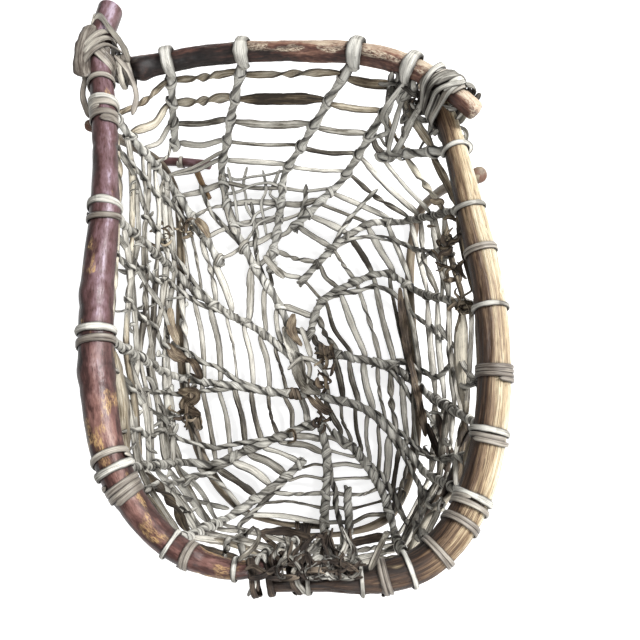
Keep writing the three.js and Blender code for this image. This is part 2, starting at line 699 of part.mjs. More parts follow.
// Small ties
addPiece('rail_tie', bindingRound(rail, planPoint(-44.8, 51.5), 1.5), 'binding');
addPiece('stick_tie', bindingRound(stick, planPoint(-36.7, 44.4), 1.5), 'darkFibre');

console.log(`least gap of a winding to itself: ${selfGaps.winding.toFixed(2)} mm`);
console.log(`least gap of a twined cord to itself: ${selfGaps.twining.toFixed(2)} mm`);

// Centre the basket over the origin, standing on the ground
const bounds = new THREE.Box3().setFromObject(basket);
const middle = bounds.getCenter(vector(0, 0));
basket.position.set(-middle.x, -middle.y, RIM_HEIGHT);
basket.updateMatrixWorld(true);

export default basket;
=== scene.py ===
import itertools
import math
import zlib

import bpy
import numpy as np
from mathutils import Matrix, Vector


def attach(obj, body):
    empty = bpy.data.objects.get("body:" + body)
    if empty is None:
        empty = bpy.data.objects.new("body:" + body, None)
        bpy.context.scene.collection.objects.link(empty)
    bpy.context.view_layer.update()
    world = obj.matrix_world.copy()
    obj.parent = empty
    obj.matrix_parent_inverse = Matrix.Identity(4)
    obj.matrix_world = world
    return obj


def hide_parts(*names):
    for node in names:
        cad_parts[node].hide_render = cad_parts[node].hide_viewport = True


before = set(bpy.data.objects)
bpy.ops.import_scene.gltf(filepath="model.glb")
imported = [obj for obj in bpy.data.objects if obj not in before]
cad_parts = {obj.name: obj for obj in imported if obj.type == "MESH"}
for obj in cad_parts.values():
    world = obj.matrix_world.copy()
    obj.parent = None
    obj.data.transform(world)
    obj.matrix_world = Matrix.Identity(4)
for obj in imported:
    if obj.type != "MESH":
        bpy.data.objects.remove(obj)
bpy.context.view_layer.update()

# Everything is worked out in millimetres from the middle of the rim, X to the right, Y
# towards the crossbar, Z up, and moved into the frame when a mesh is made.
OFFSET = np.array((41.742, -60.059, 206.0))
RIM_WIDTH = 400
RIM_LENGTH = 540
RIM_HEIGHT = 206
GROUND = -RIM_HEIGHT
UP = np.array((0.0, 0.0, 1.0))
# Large numbers that turn a cell of the noise into a value of its own
CELL_FACTORS = np.array((374761393, 668265263, 1440662683))
SEED_FACTOR = 97463477
MIX_FACTOR = 1274126177


# Numbers and curves


def unit(v):
    return v / np.maximum(np.linalg.norm(v, axis=-1, keepdims=True), 1e-9)


# The way up to the camera from the basket
VIEW = unit(np.array((0.0, -0.31, 0.95)))


def plan(across, along, z=0.0):
    """A place in hundredths of the rim's width and length."""
    return np.array((across / 100 * RIM_WIDTH, along / 100 * RIM_LENGTH, z))


def route(*places, level=0.0):
    """Places in hundredths, at this level unless they bring their own."""
    return [plan(*(*place, level)[:3]) for place in places]


def seed_of(name):
    return zlib.crc32(name.encode()) % 100000


def noise(points, seed):
    """Smooth noise from -1 to 1 at an array of places."""
    points = np.asarray(points, dtype=float)
    cell = np.floor(points).astype(np.int64)
    f = points - cell
    f = f * f * (3 - 2 * f)
    total = np.zeros(points.shape[:-1])
    for corner in itertools.product((0, 1), repeat=3):
        h = ((cell + corner) * CELL_FACTORS).sum(-1) + seed * SEED_FACTOR
        h = (h ^ (h >> 13)) * MIX_FACTOR
        h = (h ^ (h >> 16)) & 0xFFFF
        near = np.where(corner, f, 1 - f)
        total += near[..., 0] * near[..., 1] * near[..., 2] * (h / 32767.5 - 1)
    return total


def wave(s, length, seed):
    """Smooth noise along a length."""
    s = np.asarray(s, dtype=float)
    return noise(np.stack([s / length, np.full(s.shape, 0.37), np.full(s.shape, 0.71)], -1), seed)


def rough(points, seed, octaves=3):
    total = 0
    for i in range(octaves):
        total = total + noise(np.asarray(points) * 2 ** i, seed + 31 * i) / 2 ** i
    return total / 1.6


def rise(x, low, high):
    """0 below low, 1 above high, straight between them."""
    return np.clip((x - low) / (high - low), 0, 1)


def step(x, low, high):
    t = rise(x, low, max(high, low + 1e-6))
    return t * t * (3 - 2 * t)


def hill(x, at, long):
    return np.exp(-((x - at) / long) ** 2)


def around(angle, u, v):
    """The direction at an angle from u towards v."""
    return np.cos(angle)[..., None] * u + np.sin(angle)[..., None] * v


def lengths_along(points):
    return np.concatenate([[0], np.cumsum(np.linalg.norm(np.diff(points, axis=0), axis=1))])


def read_at(s, lengths, values):
    """Rows of values at other lengths."""
    return np.stack([np.interp(s, lengths, values[:, i]) for i in range(3)], -1)


def resample(points, spacing, extra=None):
    s = lengths_along(points)
    want = np.linspace(0, s[-1], max(int(round(s[-1] / spacing)), 2) + 1)
    if extra is None:
        return read_at(want, s, points)
    return read_at(want, s, points), unit(read_at(want, s, extra))


def spline(points, spacing, extra=None, closed=False):
    """A centripetal spline through the points, with a vector carried along if one is given."""
    p = np.asarray(points, dtype=float)
    if closed:
        p = np.vstack([p[-1:], p, p[:2]])
        extra = np.vstack([extra, extra[:1]])
    else:
        p = np.vstack([2 * p[:1] - p[1:2], p, 2 * p[-1:] - p[-2:-1]])
    dense, carried_on = [], []
    spans = len(p) - 3
    for i in range(spans):
        x0, x1, x2, x3 = p[i:i + 4]
        d0, d1, d2 = np.maximum(np.linalg.norm(np.diff(p[i:i + 4], axis=0), axis=1), 1e-6) ** 0.5
        m1 = ((x1 - x0) / d0 - (x2 - x0) / (d0 + d1) + (x2 - x1) / d1) * d1
        m2 = ((x2 - x1) / d1 - (x3 - x1) / (d1 + d2) + (x3 - x2) / d2) * d1
        n = max(int(np.linalg.norm(x2 - x1) / spacing * 1.6), 3)
        t = np.linspace(0, 1, n, endpoint=False)[:, None]
        square = (-3 * x1 + 3 * x2 - 2 * m1 - m2) * t ** 2
        cube = (2 * x1 - 2 * x2 + m1 + m2) * t ** 3
        dense.append(x1 + m1 * t + square + cube)
        if extra is not None:
            carried_on.append(extra[i] * (1 - t) + extra[i + 1] * t)
    dense = np.vstack(dense + [p[-2:-1]])
    if extra is None:
        return resample(dense, spacing)
    return resample(dense, spacing, np.vstack(carried_on + [extra[spans:spans + 1]]))


def ways(points, closed=False):
    if closed:
        return unit(np.roll(points, -1, 0) - np.roll(points, 1, 0))
    return unit(np.gradient(points, axis=0))


def carried(points, first=None):
    """The way along a line of points, normals that turn as little as they can, and the third direction."""
    run = ways(points)
    normal = first
    if first is None:
        normal = np.array((1.0, 0, 0)) if abs(run[0][2]) > 0.9 else UP
    out = []
    for r in run:
        normal = unit(normal - np.dot(normal, r) * r)
        out.append(normal)
    out = np.array(out)
    return run, out, np.cross(run, out)


# Meshes


class Shape:
    """Tubes and strips collected into one mesh, with the values their materials read:
    grain (place in the section and along the run, in mm), edge (0 in the middle of a
    strip, 1 at its edges, where strips get a painted shade; on a rod, how far its bark is
    rubbed away, and on the crossbar also where its painted highlight goes) and tone (lighter or darker)."""

    def __init__(self):
        self.points, self.faces, self.grain, self.edge, self.tone = [], [], [], [], []
        self.count = 0

    def sweep(self, centres, u, v, profile, s, edge, tone, closed=False):
        """A section carried along the centres. u and v are its two directions there."""
        n, m = profile.shape[:2]
        points = centres[:, None] + profile[..., :1] * u[:, None] + profile[..., 1:] * v[:, None]
        index = self.count + np.arange(n * m).reshape(n, m)
        beside = np.roll(index, -1, axis=1)
        if closed:
            corners = (index, beside, np.roll(beside, -1, axis=0), np.roll(index, -1, axis=0))
        else:
            corners = (index[:-1], beside[:-1], beside[1:], index[1:])
        self.faces += np.stack(corners, -1).reshape(-1, 4).tolist()
        if not closed:
            self.faces += [index[0][::-1].tolist(), index[-1].tolist()]
        grain = np.empty((n, m, 3))
        grain[..., :2] = profile
        grain[..., 2] = s[:, None]
        tone = np.asarray(tone, dtype=float)
        if tone.ndim == 1:
            tone = tone[:, None]
        self.points.append(points.reshape(-1, 3))
        self.grain.append(grain.reshape(-1, 3))
        self.edge.append(edge.reshape(-1))
        self.tone.append(np.broadcast_to(tone, (n, m)).reshape(-1))
        self.count += n * m

    def make(self, name, look, *nodes, slot=None):
        """The mesh as a piece of the basket, which stands for the nodes named."""
        points = (np.vstack(self.points) + OFFSET) / 1000
        points[:, 2] = np.maximum(points[:, 2], 0)
        mesh = bpy.data.meshes.new(name)
        mesh.from_pydata(points.tolist(), [], self.faces)
        grain = mesh.attributes.new("grain", "FLOAT_VECTOR", "POINT")
        grain.data.foreach_set("vector", np.vstack(self.grain).astype(np.float32).ravel())
        for key, values in (("edge", self.edge), ("tone", self.tone)):
            data = mesh.attributes.new(key, "FLOAT", "POINT").data
            data.foreach_set("value", np.concatenate(values).astype(np.float32))
        mesh.polygons.foreach_set("use_smooth", [True] * len(mesh.polygons))
        mesh.update()
        obj = bpy.data.objects.new(name, mesh)
        bpy.context.scene.collection.objects.link(obj)
        mesh.materials.append(LOOKS[look])
        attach(obj, "root")
        if nodes:
            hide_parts(*nodes)


def flat_section(width, thick, sides, square):
    """Flat rounded sections, one for each width and thickness, and how near each point is to an edge."""
    t = 2 * np.pi * (np.arange(sides) + 0.5) / sides
    c, s = np.cos(t), np.sin(t)
    x = np.sign(c) * np.abs(c) ** square
    y = np.sign(s) * np.abs(s) ** 0.8
    section = np.empty((len(width), sides, 2))
    section[..., 0] = width[:, None] / 2 * x
    section[..., 1] = thick[:, None] / 2 * y
    return section, np.broadcast_to(np.abs(x), (len(width), sides))


def strip(shape, points, out, width, thick, seed, tone, cup, ridge, square, closed=False,
          taper=(4, 4), wander=0.14, sides=14, turn=None, rim=1):
    """A flat bark strip along a line of points. out faces away from what it lies on, cup
    hollows it, ridge ribs it, a small square makes its edges blunt, wander varies its
    width, turn rolls it, and a larger rim makes the painted shade at its edges narrower."""
    run = ways(points, closed)
    across = unit(np.cross(run, out))
    face = np.cross(across, run)
    if turn is not None:
        across, face = around(turn, across, face), around(turn, face, -across)
    length = lengths_along(points)
    left_over = length[-1] - length
    grow = 1 + wander * wave(length, 17, seed) + wander * 0.5 * wave(length, 5, seed + 7)
    if closed:
        grow = 1 + (grow - 1) * rise(np.minimum(length, left_over), 0, 12)
    else:
        for d, reach in zip((length, left_over), taper):
            grow = grow * np.clip(0.18 + 0.82 * np.sqrt(rise(d, 0, reach)), 0, 1)
    widths = np.broadcast_to(width, (len(points),)) * grow
    thicks = np.broadcast_to(thick, (len(points),)) * (0.6 + 0.4 * grow)
    section, edge = flat_section(widths, thicks, sides, square)
    x = section[..., 0]
    along = np.broadcast_to(length[:, None] * 0.05, x.shape)
    places = np.stack([x * 0.9, along, np.full(x.shape, 0.3)], -1)
    section[..., 1] += ridge * thicks[:, None] * rough(places, seed, 2)
    section[..., 1] += cup * thicks[:, None] * ((x / (widths[:, None] / 2)) ** 2 - 0.4)
    shape.sweep(points, across, face, section, length + seed % 977, edge ** rim, tone, closed)


# Looks

# Painted shade in the hollows between pieces: its colour, and within how many metres the next piece has to
# lie
PAINTED_SHADE_COLOUR = (30, 22, 18)
PAINTED_SHADE_REACH = 0.008
# How deep the relief of a strip and of a rod looks, in metres
STRIP_DEPTH = 0.0008
ROD_DEPTH = 0.0012


def colour(r, g, b):
    def linear(c):
        c /= 255
        return c / 12.92 if c <= 0.04045 else ((c + 0.055) / 1.055) ** 2.4
    return (linear(r), linear(g), linear(b), 1.0)


class Look:
    """A procedural material, wired node by node."""

    def __init__(self, name):
        self.material = bpy.data.materials.new(name)
        self.material.use_nodes = True
        self.tree = self.material.node_tree
        self.tree.nodes.clear()
        self.shader = self.add("ShaderNodeBsdfPrincipled")
        self.output = self.add("ShaderNodeOutputMaterial", {"Surface": self.shader.outputs[0]})

    def add(self, kind, inputs=None, **settings):
        node = self.tree.nodes.new(kind)
        for key, value in settings.items():
            setattr(node, key, value)
        self.wire(node, inputs or {})
        return node

    def wire(self, node, inputs):
        for key, value in inputs.items():
            if isinstance(value, bpy.types.NodeSocket):
                self.tree.links.new(value, node.inputs[key])
            else:
                node.inputs[key].default_value = value

    def value(self, name):
        return self.add("ShaderNodeAttribute", attribute_name=name).outputs["Fac"]

    def grain(self):
        return self.add("ShaderNodeAttribute", attribute_name="grain").outputs["Vector"]

    def sums(self, op, a, b, clamp=False):
        return self.add("ShaderNodeMath", {0: a, 1: b}, operation=op, use_clamp=clamp).outputs[0]

    def plus(self, a, b, clamp=False):
        return self.sums("ADD", a, b, clamp)

    def times(self, a, b):
        return self.sums("MULTIPLY", a, b)

    def vectors(self, op, a, b):
        return self.add("ShaderNodeVectorMath", {0: a, 1: b}, operation=op).outputs[0]

    def noise(self, grain, across, along, detail, roughness, shift=0.0):
        """Noise stretched along the grain."""
        moved = self.vectors("MULTIPLY", grain, (across, across, along))
        moved = self.vectors("ADD", moved, (shift, shift * 0.7, shift * 1.3))
        inputs = {"Vector": moved, "Scale": 1.0, "Detail": detail, "Roughness": roughness}
        return self.add("ShaderNodeTexNoise", inputs).outputs["Fac"]

    def spread(self, value, low, high, to_low=0.0, to_high=1.0):
        inputs = {0: value, 1: low, 2: high, 3: to_low, 4: to_high}
        return self.add("ShaderNodeMapRange", inputs, clamp=True).outputs[0]

    def ramp(self, value, stops):
        node = self.add("ShaderNodeValToRGB", {0: value})
        ramp = node.color_ramp
        while len(ramp.elements) < len(stops):
            ramp.elements.new(0.5)
        for element, (place, shade) in zip(ramp.elements, stops):
            element.position = place
            element.color = colour(*shade)
        return node.outputs[0]

    def mix(self, share, a, b):
        return self.add("ShaderNodeMix", {0: share, 6: a, 7: b}, data_type="RGBA").outputs[2]

    def finish(self, shade, height, bump, depth, roughness, patch):
        """Painted shade: the colour darkens towards dark brown where a piece lies close to others."""
        painted_shade_ao = self.add("ShaderNodeAmbientOcclusion", {"Distance": PAINTED_SHADE_REACH}, samples=4)
        open_share = painted_shade_ao.outputs["AO"]
        shade = self.mix(self.spread(open_share, 0.2, 0.88, 0.92, 0.0), shade, colour(*PAINTED_SHADE_COLOUR))
        inputs = {"Height": height, "Strength": bump, "Distance": depth}
        normal = self.add("ShaderNodeBump", inputs).outputs[0]
        roughness = self.spread(patch, 0.3, 0.7, *roughness)
        self.wire(self.shader, {"Base Color": shade, "Normal": normal, "Roughness": roughness})
        return self.material


def fibre(name, stops, edge, edge_share=0.92, roughness=(0.5, 0.85), sheen=0.0, line_share=0.75):
    """Bark strip: dark fibre lines run along it, its edges get a painted shade in the edge colour,
    and each strip has a tone of its own."""
    look = Look(name)
    grain = look.grain()
    streak = look.noise(grain, 0.8, 0.03, 5.0, 0.65)
    lines = look.noise(grain, 1.5, 0.045, 4.0, 0.7, 11.0)
    patch = look.noise(grain, 0.12, 0.045, 3.0, 0.6, 37.0)
    level = look.times(look.spread(streak, 0.34, 0.66), 0.6)
    level = look.plus(level, look.times(look.spread(patch, 0.3, 0.7), 0.4))
    tone = look.sums("SUBTRACT", look.value("tone"), 0.5)
    level = look.plus(level, look.times(tone, 0.9), clamp=True)
    dark = look.times(look.spread(lines, 0.34, 0.5, 1.0, 0.0), line_share)
    # Painted shade: the colour darkens towards a strip's edges, as on a rounded strip turned from the light
    rim = look.times(look.spread(look.value("edge"), 0.52, 0.9), look.spread(patch, 0.32, 0.6, 0.5, 1.0))
    dark = look.sums("MAXIMUM", dark, look.times(rim, edge_share))
    shade = look.mix(dark, look.ramp(level, stops), colour(*edge))
    height = look.plus(look.times(streak, 0.5), look.times(lines, 0.5))
    if sheen:
        look.wire(look.shader, {"Sheen Weight": sheen, "Sheen Roughness": 0.4})
    return look.finish(shade, height, 0.8, STRIP_DEPTH, roughness, patch)


def bark_look(name, stops, worn_and_lit, crack, crack_share, roughness, bump, along=0.03, across=0.22,
              later=None, change=None, cracks=(0.3, 0.42), flecks=False):
    """Rod: tone 0 to 1 walks along the stops, spots rubbed bare show what lies beneath (on the
    crossbar that pale colour also serves as a painted highlight), cracks run lengthwise. The
    stops in later take over between the two lengths in change."""
    look = Look(name)
    grain = look.grain()
    streak = look.noise(grain, across, along, 6.0, 0.62)
    fine = look.noise(grain, across * 5, along * 4, 4.0, 0.6, 9.0)
    patch = look.noise(grain, 0.05, 0.022, 4.0, 0.6, 21.0)
    level = look.plus(look.value("tone"), look.spread(streak, 0.25, 0.75, -0.3, 0.3))
    level = look.plus(level, look.spread(fine, 0.3, 0.7, -0.08, 0.08))
    level = look.plus(level, look.spread(patch, 0.3, 0.7, -0.12, 0.12), clamp=True)
    shade = look.ramp(level, stops)
    if later:
        length = look.add("ShaderNodeSeparateXYZ", {0: grain}).outputs[2]
        length = look.plus(length, look.spread(patch, 0.3, 0.7, -60, 60))
        shade = look.mix(look.spread(length, *change), shade, look.ramp(level, later))
    wear_and_highlight = look.times(look.spread(look.value("edge"), 0.35, 0.75), look.spread(streak, 0.35, 0.6, 0.2, 1.0))
    if flecks:
        wear_and_highlight = look.times(wear_and_highlight, look.spread(look.noise(grain, 1.1, 0.3, 4.0, 0.65, 5.0), 0.43, 0.57))
    shade = look.mix(wear_and_highlight, shade, colour(*worn_and_lit))
    line = look.times(look.spread(fine, *cracks, 1.0, 0.0), crack_share)
    shade = look.mix(line, shade, colour(*crack))
    height = look.plus(look.times(streak, 0.6), look.times(fine, 0.4))
    return look.finish(shade, height, bump, ROD_DEPTH, roughness, patch)


LOOKS = {
    "mauve": bark_look(
        "mauve_bark",
        [(0.0, (34, 22, 21)), (0.25, (68, 45, 43)), (0.5, (100, 70, 70)), (0.75, (134, 106, 112)),
         (1.0, (186, 166, 182))],
        (206, 170, 118), (44, 28, 27), 0.6, (0.3, 0.5), 0.5, 0.05, 0.16,
        later=[(0.0, (42, 25, 22)), (0.3, (84, 55, 50)), (0.55, (138, 100, 92)), (0.8, (182, 149, 136)),
               (1.0, (222, 200, 182))],
        change=(330, 430), flecks=True),
    "peeled": bark_look(
        "peeled_wood",
        [(0.0, (34, 24, 18)), (0.25, (86, 63, 46)), (0.48, (150, 125, 97)), (0.7, (206, 185, 150)),
         (1.0, (249, 240, 213))],
        (222, 200, 158), (52, 35, 24), 0.8, (0.4, 0.65), 0.9, 0.012, 0.4, cracks=(0.34, 0.5)),
    # For the crossbar, the cream colour for rubbed spots is also a painted highlight
    "dark": bark_look(
        "dark_bark",
        [(0.0, (26, 20, 19)), (0.25, (50, 38, 35)), (0.5, (92, 62, 54)), (0.75, (150, 112, 94)),
         (1.0, (204, 182, 158))],
        (226, 212, 188), (20, 14, 12), 0.75, (0.35, 0.65), 0.9, flecks=True),
    "weathered": bark_look(
        "weathered_bark",
        [(0.0, (58, 47, 38)), (0.3, (98, 84, 70)), (0.6, (138, 124, 104)), (1.0, (180, 168, 144))],
        (112, 72, 58), (44, 34, 27), 0.6, (0.4, 0.7), 0.8),
    "tan": bark_look(
        "tan_wood",
        [(0.0, (60, 40, 30)), (0.3, (104, 78, 56)), (0.6, (146, 116, 84)), (1.0, (196, 168, 128))],
        (180, 150, 110), (54, 37, 27), 0.65, (0.45, 0.7), 0.7),
    # The last colour of each strip look is the painted shade at its edges
    "cord": fibre(
        "twined_cord",
        [(0.0, (80, 76, 69)), (0.2, (142, 138, 129)), (0.45, (197, 194, 184)), (0.72, (229, 226, 216)),
         (1.0, (248, 246, 237))],
        (35, 30, 26)),
    "warp": fibre(
        "warp_strip",
        [(0.0, (68, 61, 52)), (0.22, (130, 124, 111)), (0.48, (190, 185, 173)), (0.75, (225, 221, 210)),
         (1.0, (246, 242, 230))],
        (37, 29, 23)),
    "top_warp": fibre(
        "top_warp_strip",
        [(0.0, (58, 48, 37)), (0.24, (112, 98, 78)), (0.5, (168, 154, 130)), (0.75, (210, 199, 177)),
         (1.0, (238, 230, 210))],
        (36, 27, 20)),
    "binding": fibre(
        "bark_binding",
        [(0.0, (78, 68, 60)), (0.3, (134, 125, 115)), (0.6, (178, 170, 158)), (0.85, (212, 205, 191)),
         (1.0, (238, 232, 216))],
        (50, 39, 32), 0.85, (0.32, 0.6), sheen=0.15, line_share=0.5),
    "fibre": fibre(
        "dark_fibre",
        [(0.0, (32, 25, 21)), (0.35, (68, 56, 47)), (0.65, (108, 94, 80)), (1.0, (164, 149, 130))],
        (24, 18, 15), 0.75, (0.7, 0.95)),
    "brown": fibre(
        "brown_strip",
        [(0.0, (58, 47, 39)), (0.35, (108, 92, 76)), (0.65, (158, 141, 118)), (1.0, (212, 197, 170))],
        (34, 25, 20), 0.9),
}


# Rods

# How many rings round each end off, and how far they stand out, as a share of the radius
END_RINGS = 6
END_DEPTH = 0.45


class Rod:
    """A bent rod's middle line with what its bindings need. girth is the places along it,
    from 0 to 1, and the shares of the diameter there."""

    def __init__(self, points, diameter, girth, spacing=1.5):
        self.points = spline(points, spacing)
        self.s = lengths_along(self.points)
        self.total = self.s[-1]
        self.run, self.normal, self.side = carried(self.points)
        self.radii = diameter / 2 * np.interp(self.s / self.total, *zip(*girth))

    def read(self, s, values):
        return read_at(s, self.s, values)

    def nearest(self, place):
        """The number of the middle point nearest to a place, seen from above."""
        return int(np.argmin(np.hypot(*(self.points[:, :2] - place[:2]).T)))

    def length_at(self, place):
        return self.s[self.nearest(place)]

    def station(self, place):
        """The middle point, the way along and the radius there."""
        i = self.nearest(place)
        return self.points[i], self.run[i], self.radii[i]

    def outward(self, a, l):
        return around(a, self.read(l, self.normal), self.read(l, self.side))

    def body(self, name, look, relief, tone, wear_and_highlight=None, sides=52, floor=None, slot=None):
        """relief is worked out from an angle, a length and a place in the rod, tone and the
        rubbed-bare share (on the crossbar also its painted highlight) from the length, the place
        and the way the surface faces."""
        count = len(self.points)
        ring = np.concatenate([np.arange(-END_RINGS, 0), np.zeros(count), np.arange(1, END_RINGS + 1)])
        pick = np.concatenate([[0] * END_RINGS, np.arange(count), [count - 1] * END_RINGS])
        turned = np.pi / 2 * ring / END_RINGS
        reach = self.radii[pick] * END_DEPTH * np.sin(turned)
        centres = self.points[pick] + self.run[pick] * reach[:, None]
        scale = np.maximum(np.cos(turned), 0.06)
        s = self.s[pick] + ring * 0.5
        a, l = np.meshgrid(2 * np.pi * np.arange(sides) / sides, s)
        r0 = self.radii[pick][:, None]
        place = np.stack([r0 * np.cos(a), r0 * np.sin(a), l], -1)
        r = (r0 + relief(a, l, place, self)) * scale[:, None]
        profile = np.stack([r * np.cos(a), r * np.sin(a)], -1)
        normal, side = self.normal[pick], self.side[pick]
        outward = around(a, normal[:, None], side[:, None])
        shade = np.clip(tone(l, place, outward, self), 0, 1)
        worn_and_lit = np.clip(wear_and_highlight(l, place, outward, self), 0, 1) if wear_and_highlight else np.zeros_like(shade)
        shape = Shape()
        shape.sweep(centres, normal, side, profile, s, worn_and_lit, shade)
        if floor is not None:
            shape.points[0][:, 2] = np.maximum(shape.points[0][:, 2], floor)
        shape.make(name + ("_wood" if look == "peeled" else "_bark"), look, name, slot=slot)


LEFT_DIAMETER = 25
RIGHT_DIAMETER = 26
BAR_DIAMETER = 20
BASE_DIAMETER = 11
RAIL_DIAMETER = 12
STICK_DIAMETER = 8
# The crossbar's middle against the rim's, where it passes under the left rod and over the right
UNDER_LEFT = -22.85
OVER_RIGHT = 23.35
# The base rods' undersides are worn flat by this much
WORN_FLAT = 0.5
BASE_LEVEL = GROUND + BASE_DIAMETER / 2 - WORN_FLAT
# The base rods end below the rim, turn up behind the far corners, and start a little higher
BASE_END = -20.2
BASE_BEND = BASE_LEVEL + 15
BASE_MIDDLE = -0.7 * RIM_HEIGHT
BASE_UPPER = -0.39 * RIM_HEIGHT
BASE_START = BASE_LEVEL + 0.8
RAIL_LEVEL = -197
STICK_LEVEL = -197.5
NET_FLOOR = -190.25

left = Rod(
    route((-52.5, 60.4), (-54, 51.5), (-51, 39.3), (-47.8, 19.8), (-47, 3.3), (-44.2, -12.2), (-39.2, -23),
          (-28.7, -32), (-16.5, -35.6), (-6, -34.6)),
    LEFT_DIAMETER,
    [(0, .94), (.1, .88), (.3, .9), (.42, 1.06), (.62, 1.12), (.74, 1), (.88, .72), (1, .36)])
right = Rod(
    route((27, 41.9), (29.5, 36.5), (33.2, 19.8), (35.8, 2), (34, -14.8), (28.2, -27.6), (20.2, -34.3),
          (11, -36.7), (1, -37.2), (-8.5, -37.6)),
    RIGHT_DIAMETER,
    [(0, .72), (.15, .86), (.3, .98), (.55, 1.04), (.75, 1), (.86, .86), (.93, .55), (1, .4)])
bar = Rod(
    route((-55.5, 50.4, UNDER_LEFT), (-45.2, 51.3, UNDER_LEFT), (-27.5, 52.8, UNDER_LEFT * .7), (-5, 51.1, 0),
          (14.8, 46.9, OVER_RIGHT * .7), (28, 40.2, OVER_RIGHT), (34.5, 35, OVER_RIGHT)),
    BAR_DIAMETER, [(0, 1.02), (.15, 1), (.5, .96), (.8, 1), (1, .86)])
BASE_GIRTH = [(0, .48), (.1, .55), (.18, 1)]
base_left = Rod(
    route((1, -30.9, BASE_START), (-11.5, -30), (-21.8, -27.2), (-32, -18), (-36, -10.4), (-39, -1.5),
          (-41, 9.3), (-42, 21.1), (-45.5, 42.6), (-50, 49.1, BASE_BEND), (-54.2, 48.5, BASE_MIDDLE),
          (-56.2, 43.7, BASE_UPPER), (-55.8, 38, BASE_END), level=BASE_LEVEL),
    BASE_DIAMETER, BASE_GIRTH + [(1, 1)])
base_right = Rod(
    route((-9, -32.6, BASE_START), (7.5, -31.9), (18.2, -28.9), (25.5, -18.3), (27.5, -3.3), (27, 18.9),
          (28.5, 30.6), (30.5, 36.7, BASE_BEND), (33.5, 37, BASE_MIDDLE), (36.5, 33, BASE_UPPER),
          (37.5, 27.8, BASE_END), level=BASE_LEVEL),
    BASE_DIAMETER, BASE_GIRTH + [(.92, 1), (.97, 1.35), (1, 1.4)])
rail = Rod(
    route((-54, 51.7), (-45, 51.5), (-35.5, 50.7), level=RAIL_LEVEL),
    RAIL_DIAMETER, [(0, .92), (1, 1)], 1.2)
stick = Rod(
    route((-39.8, 49.5), (-37.5, 45.6), (-35, 41.9), level=STICK_LEVEL),
    STICK_DIAMETER, [(0, 1), (1, .9)], 1.0)

# Where a side shoot left a knob on the crossbar's butt, and a smaller one near its right end
BUTT_KNOB = 43
BAR_KNOB = 205
# Swellings where side shoots grew: how far along, how high and how long
LEFT_NODES = [(30, .8, 9), (122, 1.5, 8), (150, 1.0, 7), (226, 1.6, 9), (305, 1.1, 8), (372, 1.4, 8),
              (470, 1.0, 8), (545, .7, 6)]


def facing(outward, *towards):
    """How far a surface faces a direction, from 0 to 1."""
    return np.clip((outward * towards).sum(-1), 0, 1)


def smooth_relief(a, l, place, rod):
    out = 0.55 * rough(place * (0.09, 0.09, 0.02), 3) + 0.25 * rough(place * (0.35, 0.35, 0.1), 5, 2)
    for k, (at, high, long) in enumerate(LEFT_NODES if rod is left else []):
        one_side = 0.6 + 0.4 * np.cos(a - 1.7 * k)
        out = out + high * one_side * hill(l, at, long) - 0.4 * hill(l, at + 1.6 * long, 3)
    return out


def grooved_relief(a, l, place, rod):
    out = 0.7 * rough(place * (0.08, 0.08, 0.015), 13)
    out = out - 1.1 * hill(noise(place * (0.28, 0.28, 0.012), 17), 0, 0.09)
    return out - 0.4 * hill(noise(place * (0.6, 0.6, 0.03), 19), 0, 0.1)


def rough_relief(a, l, place, rod):
    out = 0.9 * rough(place * (0.14, 0.14, 0.04), 23) + 0.5 * rough(place * (0.5, 0.5, 0.16), 29, 2)
    if rod is bar:
        front = facing(rod.outward(a, l), 0.2, -0.85, 0.48)
        out = out + 8.5 * front ** 1.5 * hill(l, BUTT_KNOB, 9)
        out = out + 1.5 * hill(l, 9, 8) + 1.2 * hill(l, BAR_KNOB, 10) * front
    return out


def weaker(relief, share):
    return lambda a, l, place, rod: share * relief(a, l, place, rod)


def left_tone(l, place, outward, rod):
    """Painted shade at the outer edge and a painted highlight right of the middle, where the rod faces up and
    right, over the bark's own tone.
    """
    base = 0.34 + 0.22 * rough(place * (0.05, 0.05, 0.02), 41) + 0.1 * rough(place * (0.3, 0.3, 0.2), 42, 2)
    # light is a painted highlight on the side facing up and to the right
    light = facing(outward, 0.5, 0.0, 0.87) ** 5
    low = rise(l, 330, 430)
    # The last term is painted shade on the outer side, facing left
    return base - 0.12 * low + (0.4 - 0.16 * low) * light - 0.3 * facing(outward, -1, 0, 0) ** 2


def left_wear(l, place, outward, rod):
    """Tan spots, more of them low down, and the top end."""
    spots = rough(place * (0.11, 0.11, 0.045), 43)
    return 2.8 * (spots - 0.32 + 0.3 * rise(l, 300, 420)) + 0.45 * hill(l, -2, 6)


def right_tone(l, place, outward, rod):
    """Dark brown inside the rim and cream outside: partly the peeled wood's own colour, partly painted shade
    inside and a painted highlight outside; faces turned up are a little lighter, a painted highlight.
    """
    outside = np.cross(rod.read(l, rod.run), UP)
    out_share = -(outward * outside).sum(-1)
    low = rise(l, 385, 450)
    # out_share gives painted shade inside and a painted highlight outside; the outward z term is a painted
    # highlight on top
    base = 0.5 + 0.42 * out_share * (1 - 0.5 * low) + 0.08 * outward[..., 2] - 0.5 * low
    return base + 0.26 * rough(place * (0.14, 0.14, 0.008), 47)


def right_wear(l, place, outward, rod):
    return 1.4 * (rough(place * (0.1, 0.1, 0.03), 61) - 0.3)


def bar_tone(l, place, outward, rod):
    """Near-black at the butt, lighter and redder towards the cut end, and a painted highlight in grey on the
    side turned up towards the lamps.
    """
    along = rise(l, 110, 220)
    painted_highlight = facing(outward, 0.1, 0.55, 0.83) ** 3
    spots = 0.22 * rough(place * (0.12, 0.12, 0.03), 53) + 0.16 * rough(place * (0.5, 0.5, 0.25), 54, 2)
    # Painted highlight: lighter where the bar faces up and back
    return 0.1 + 0.41 * along + spots + (0.4 + 0.25 * along) * painted_highlight


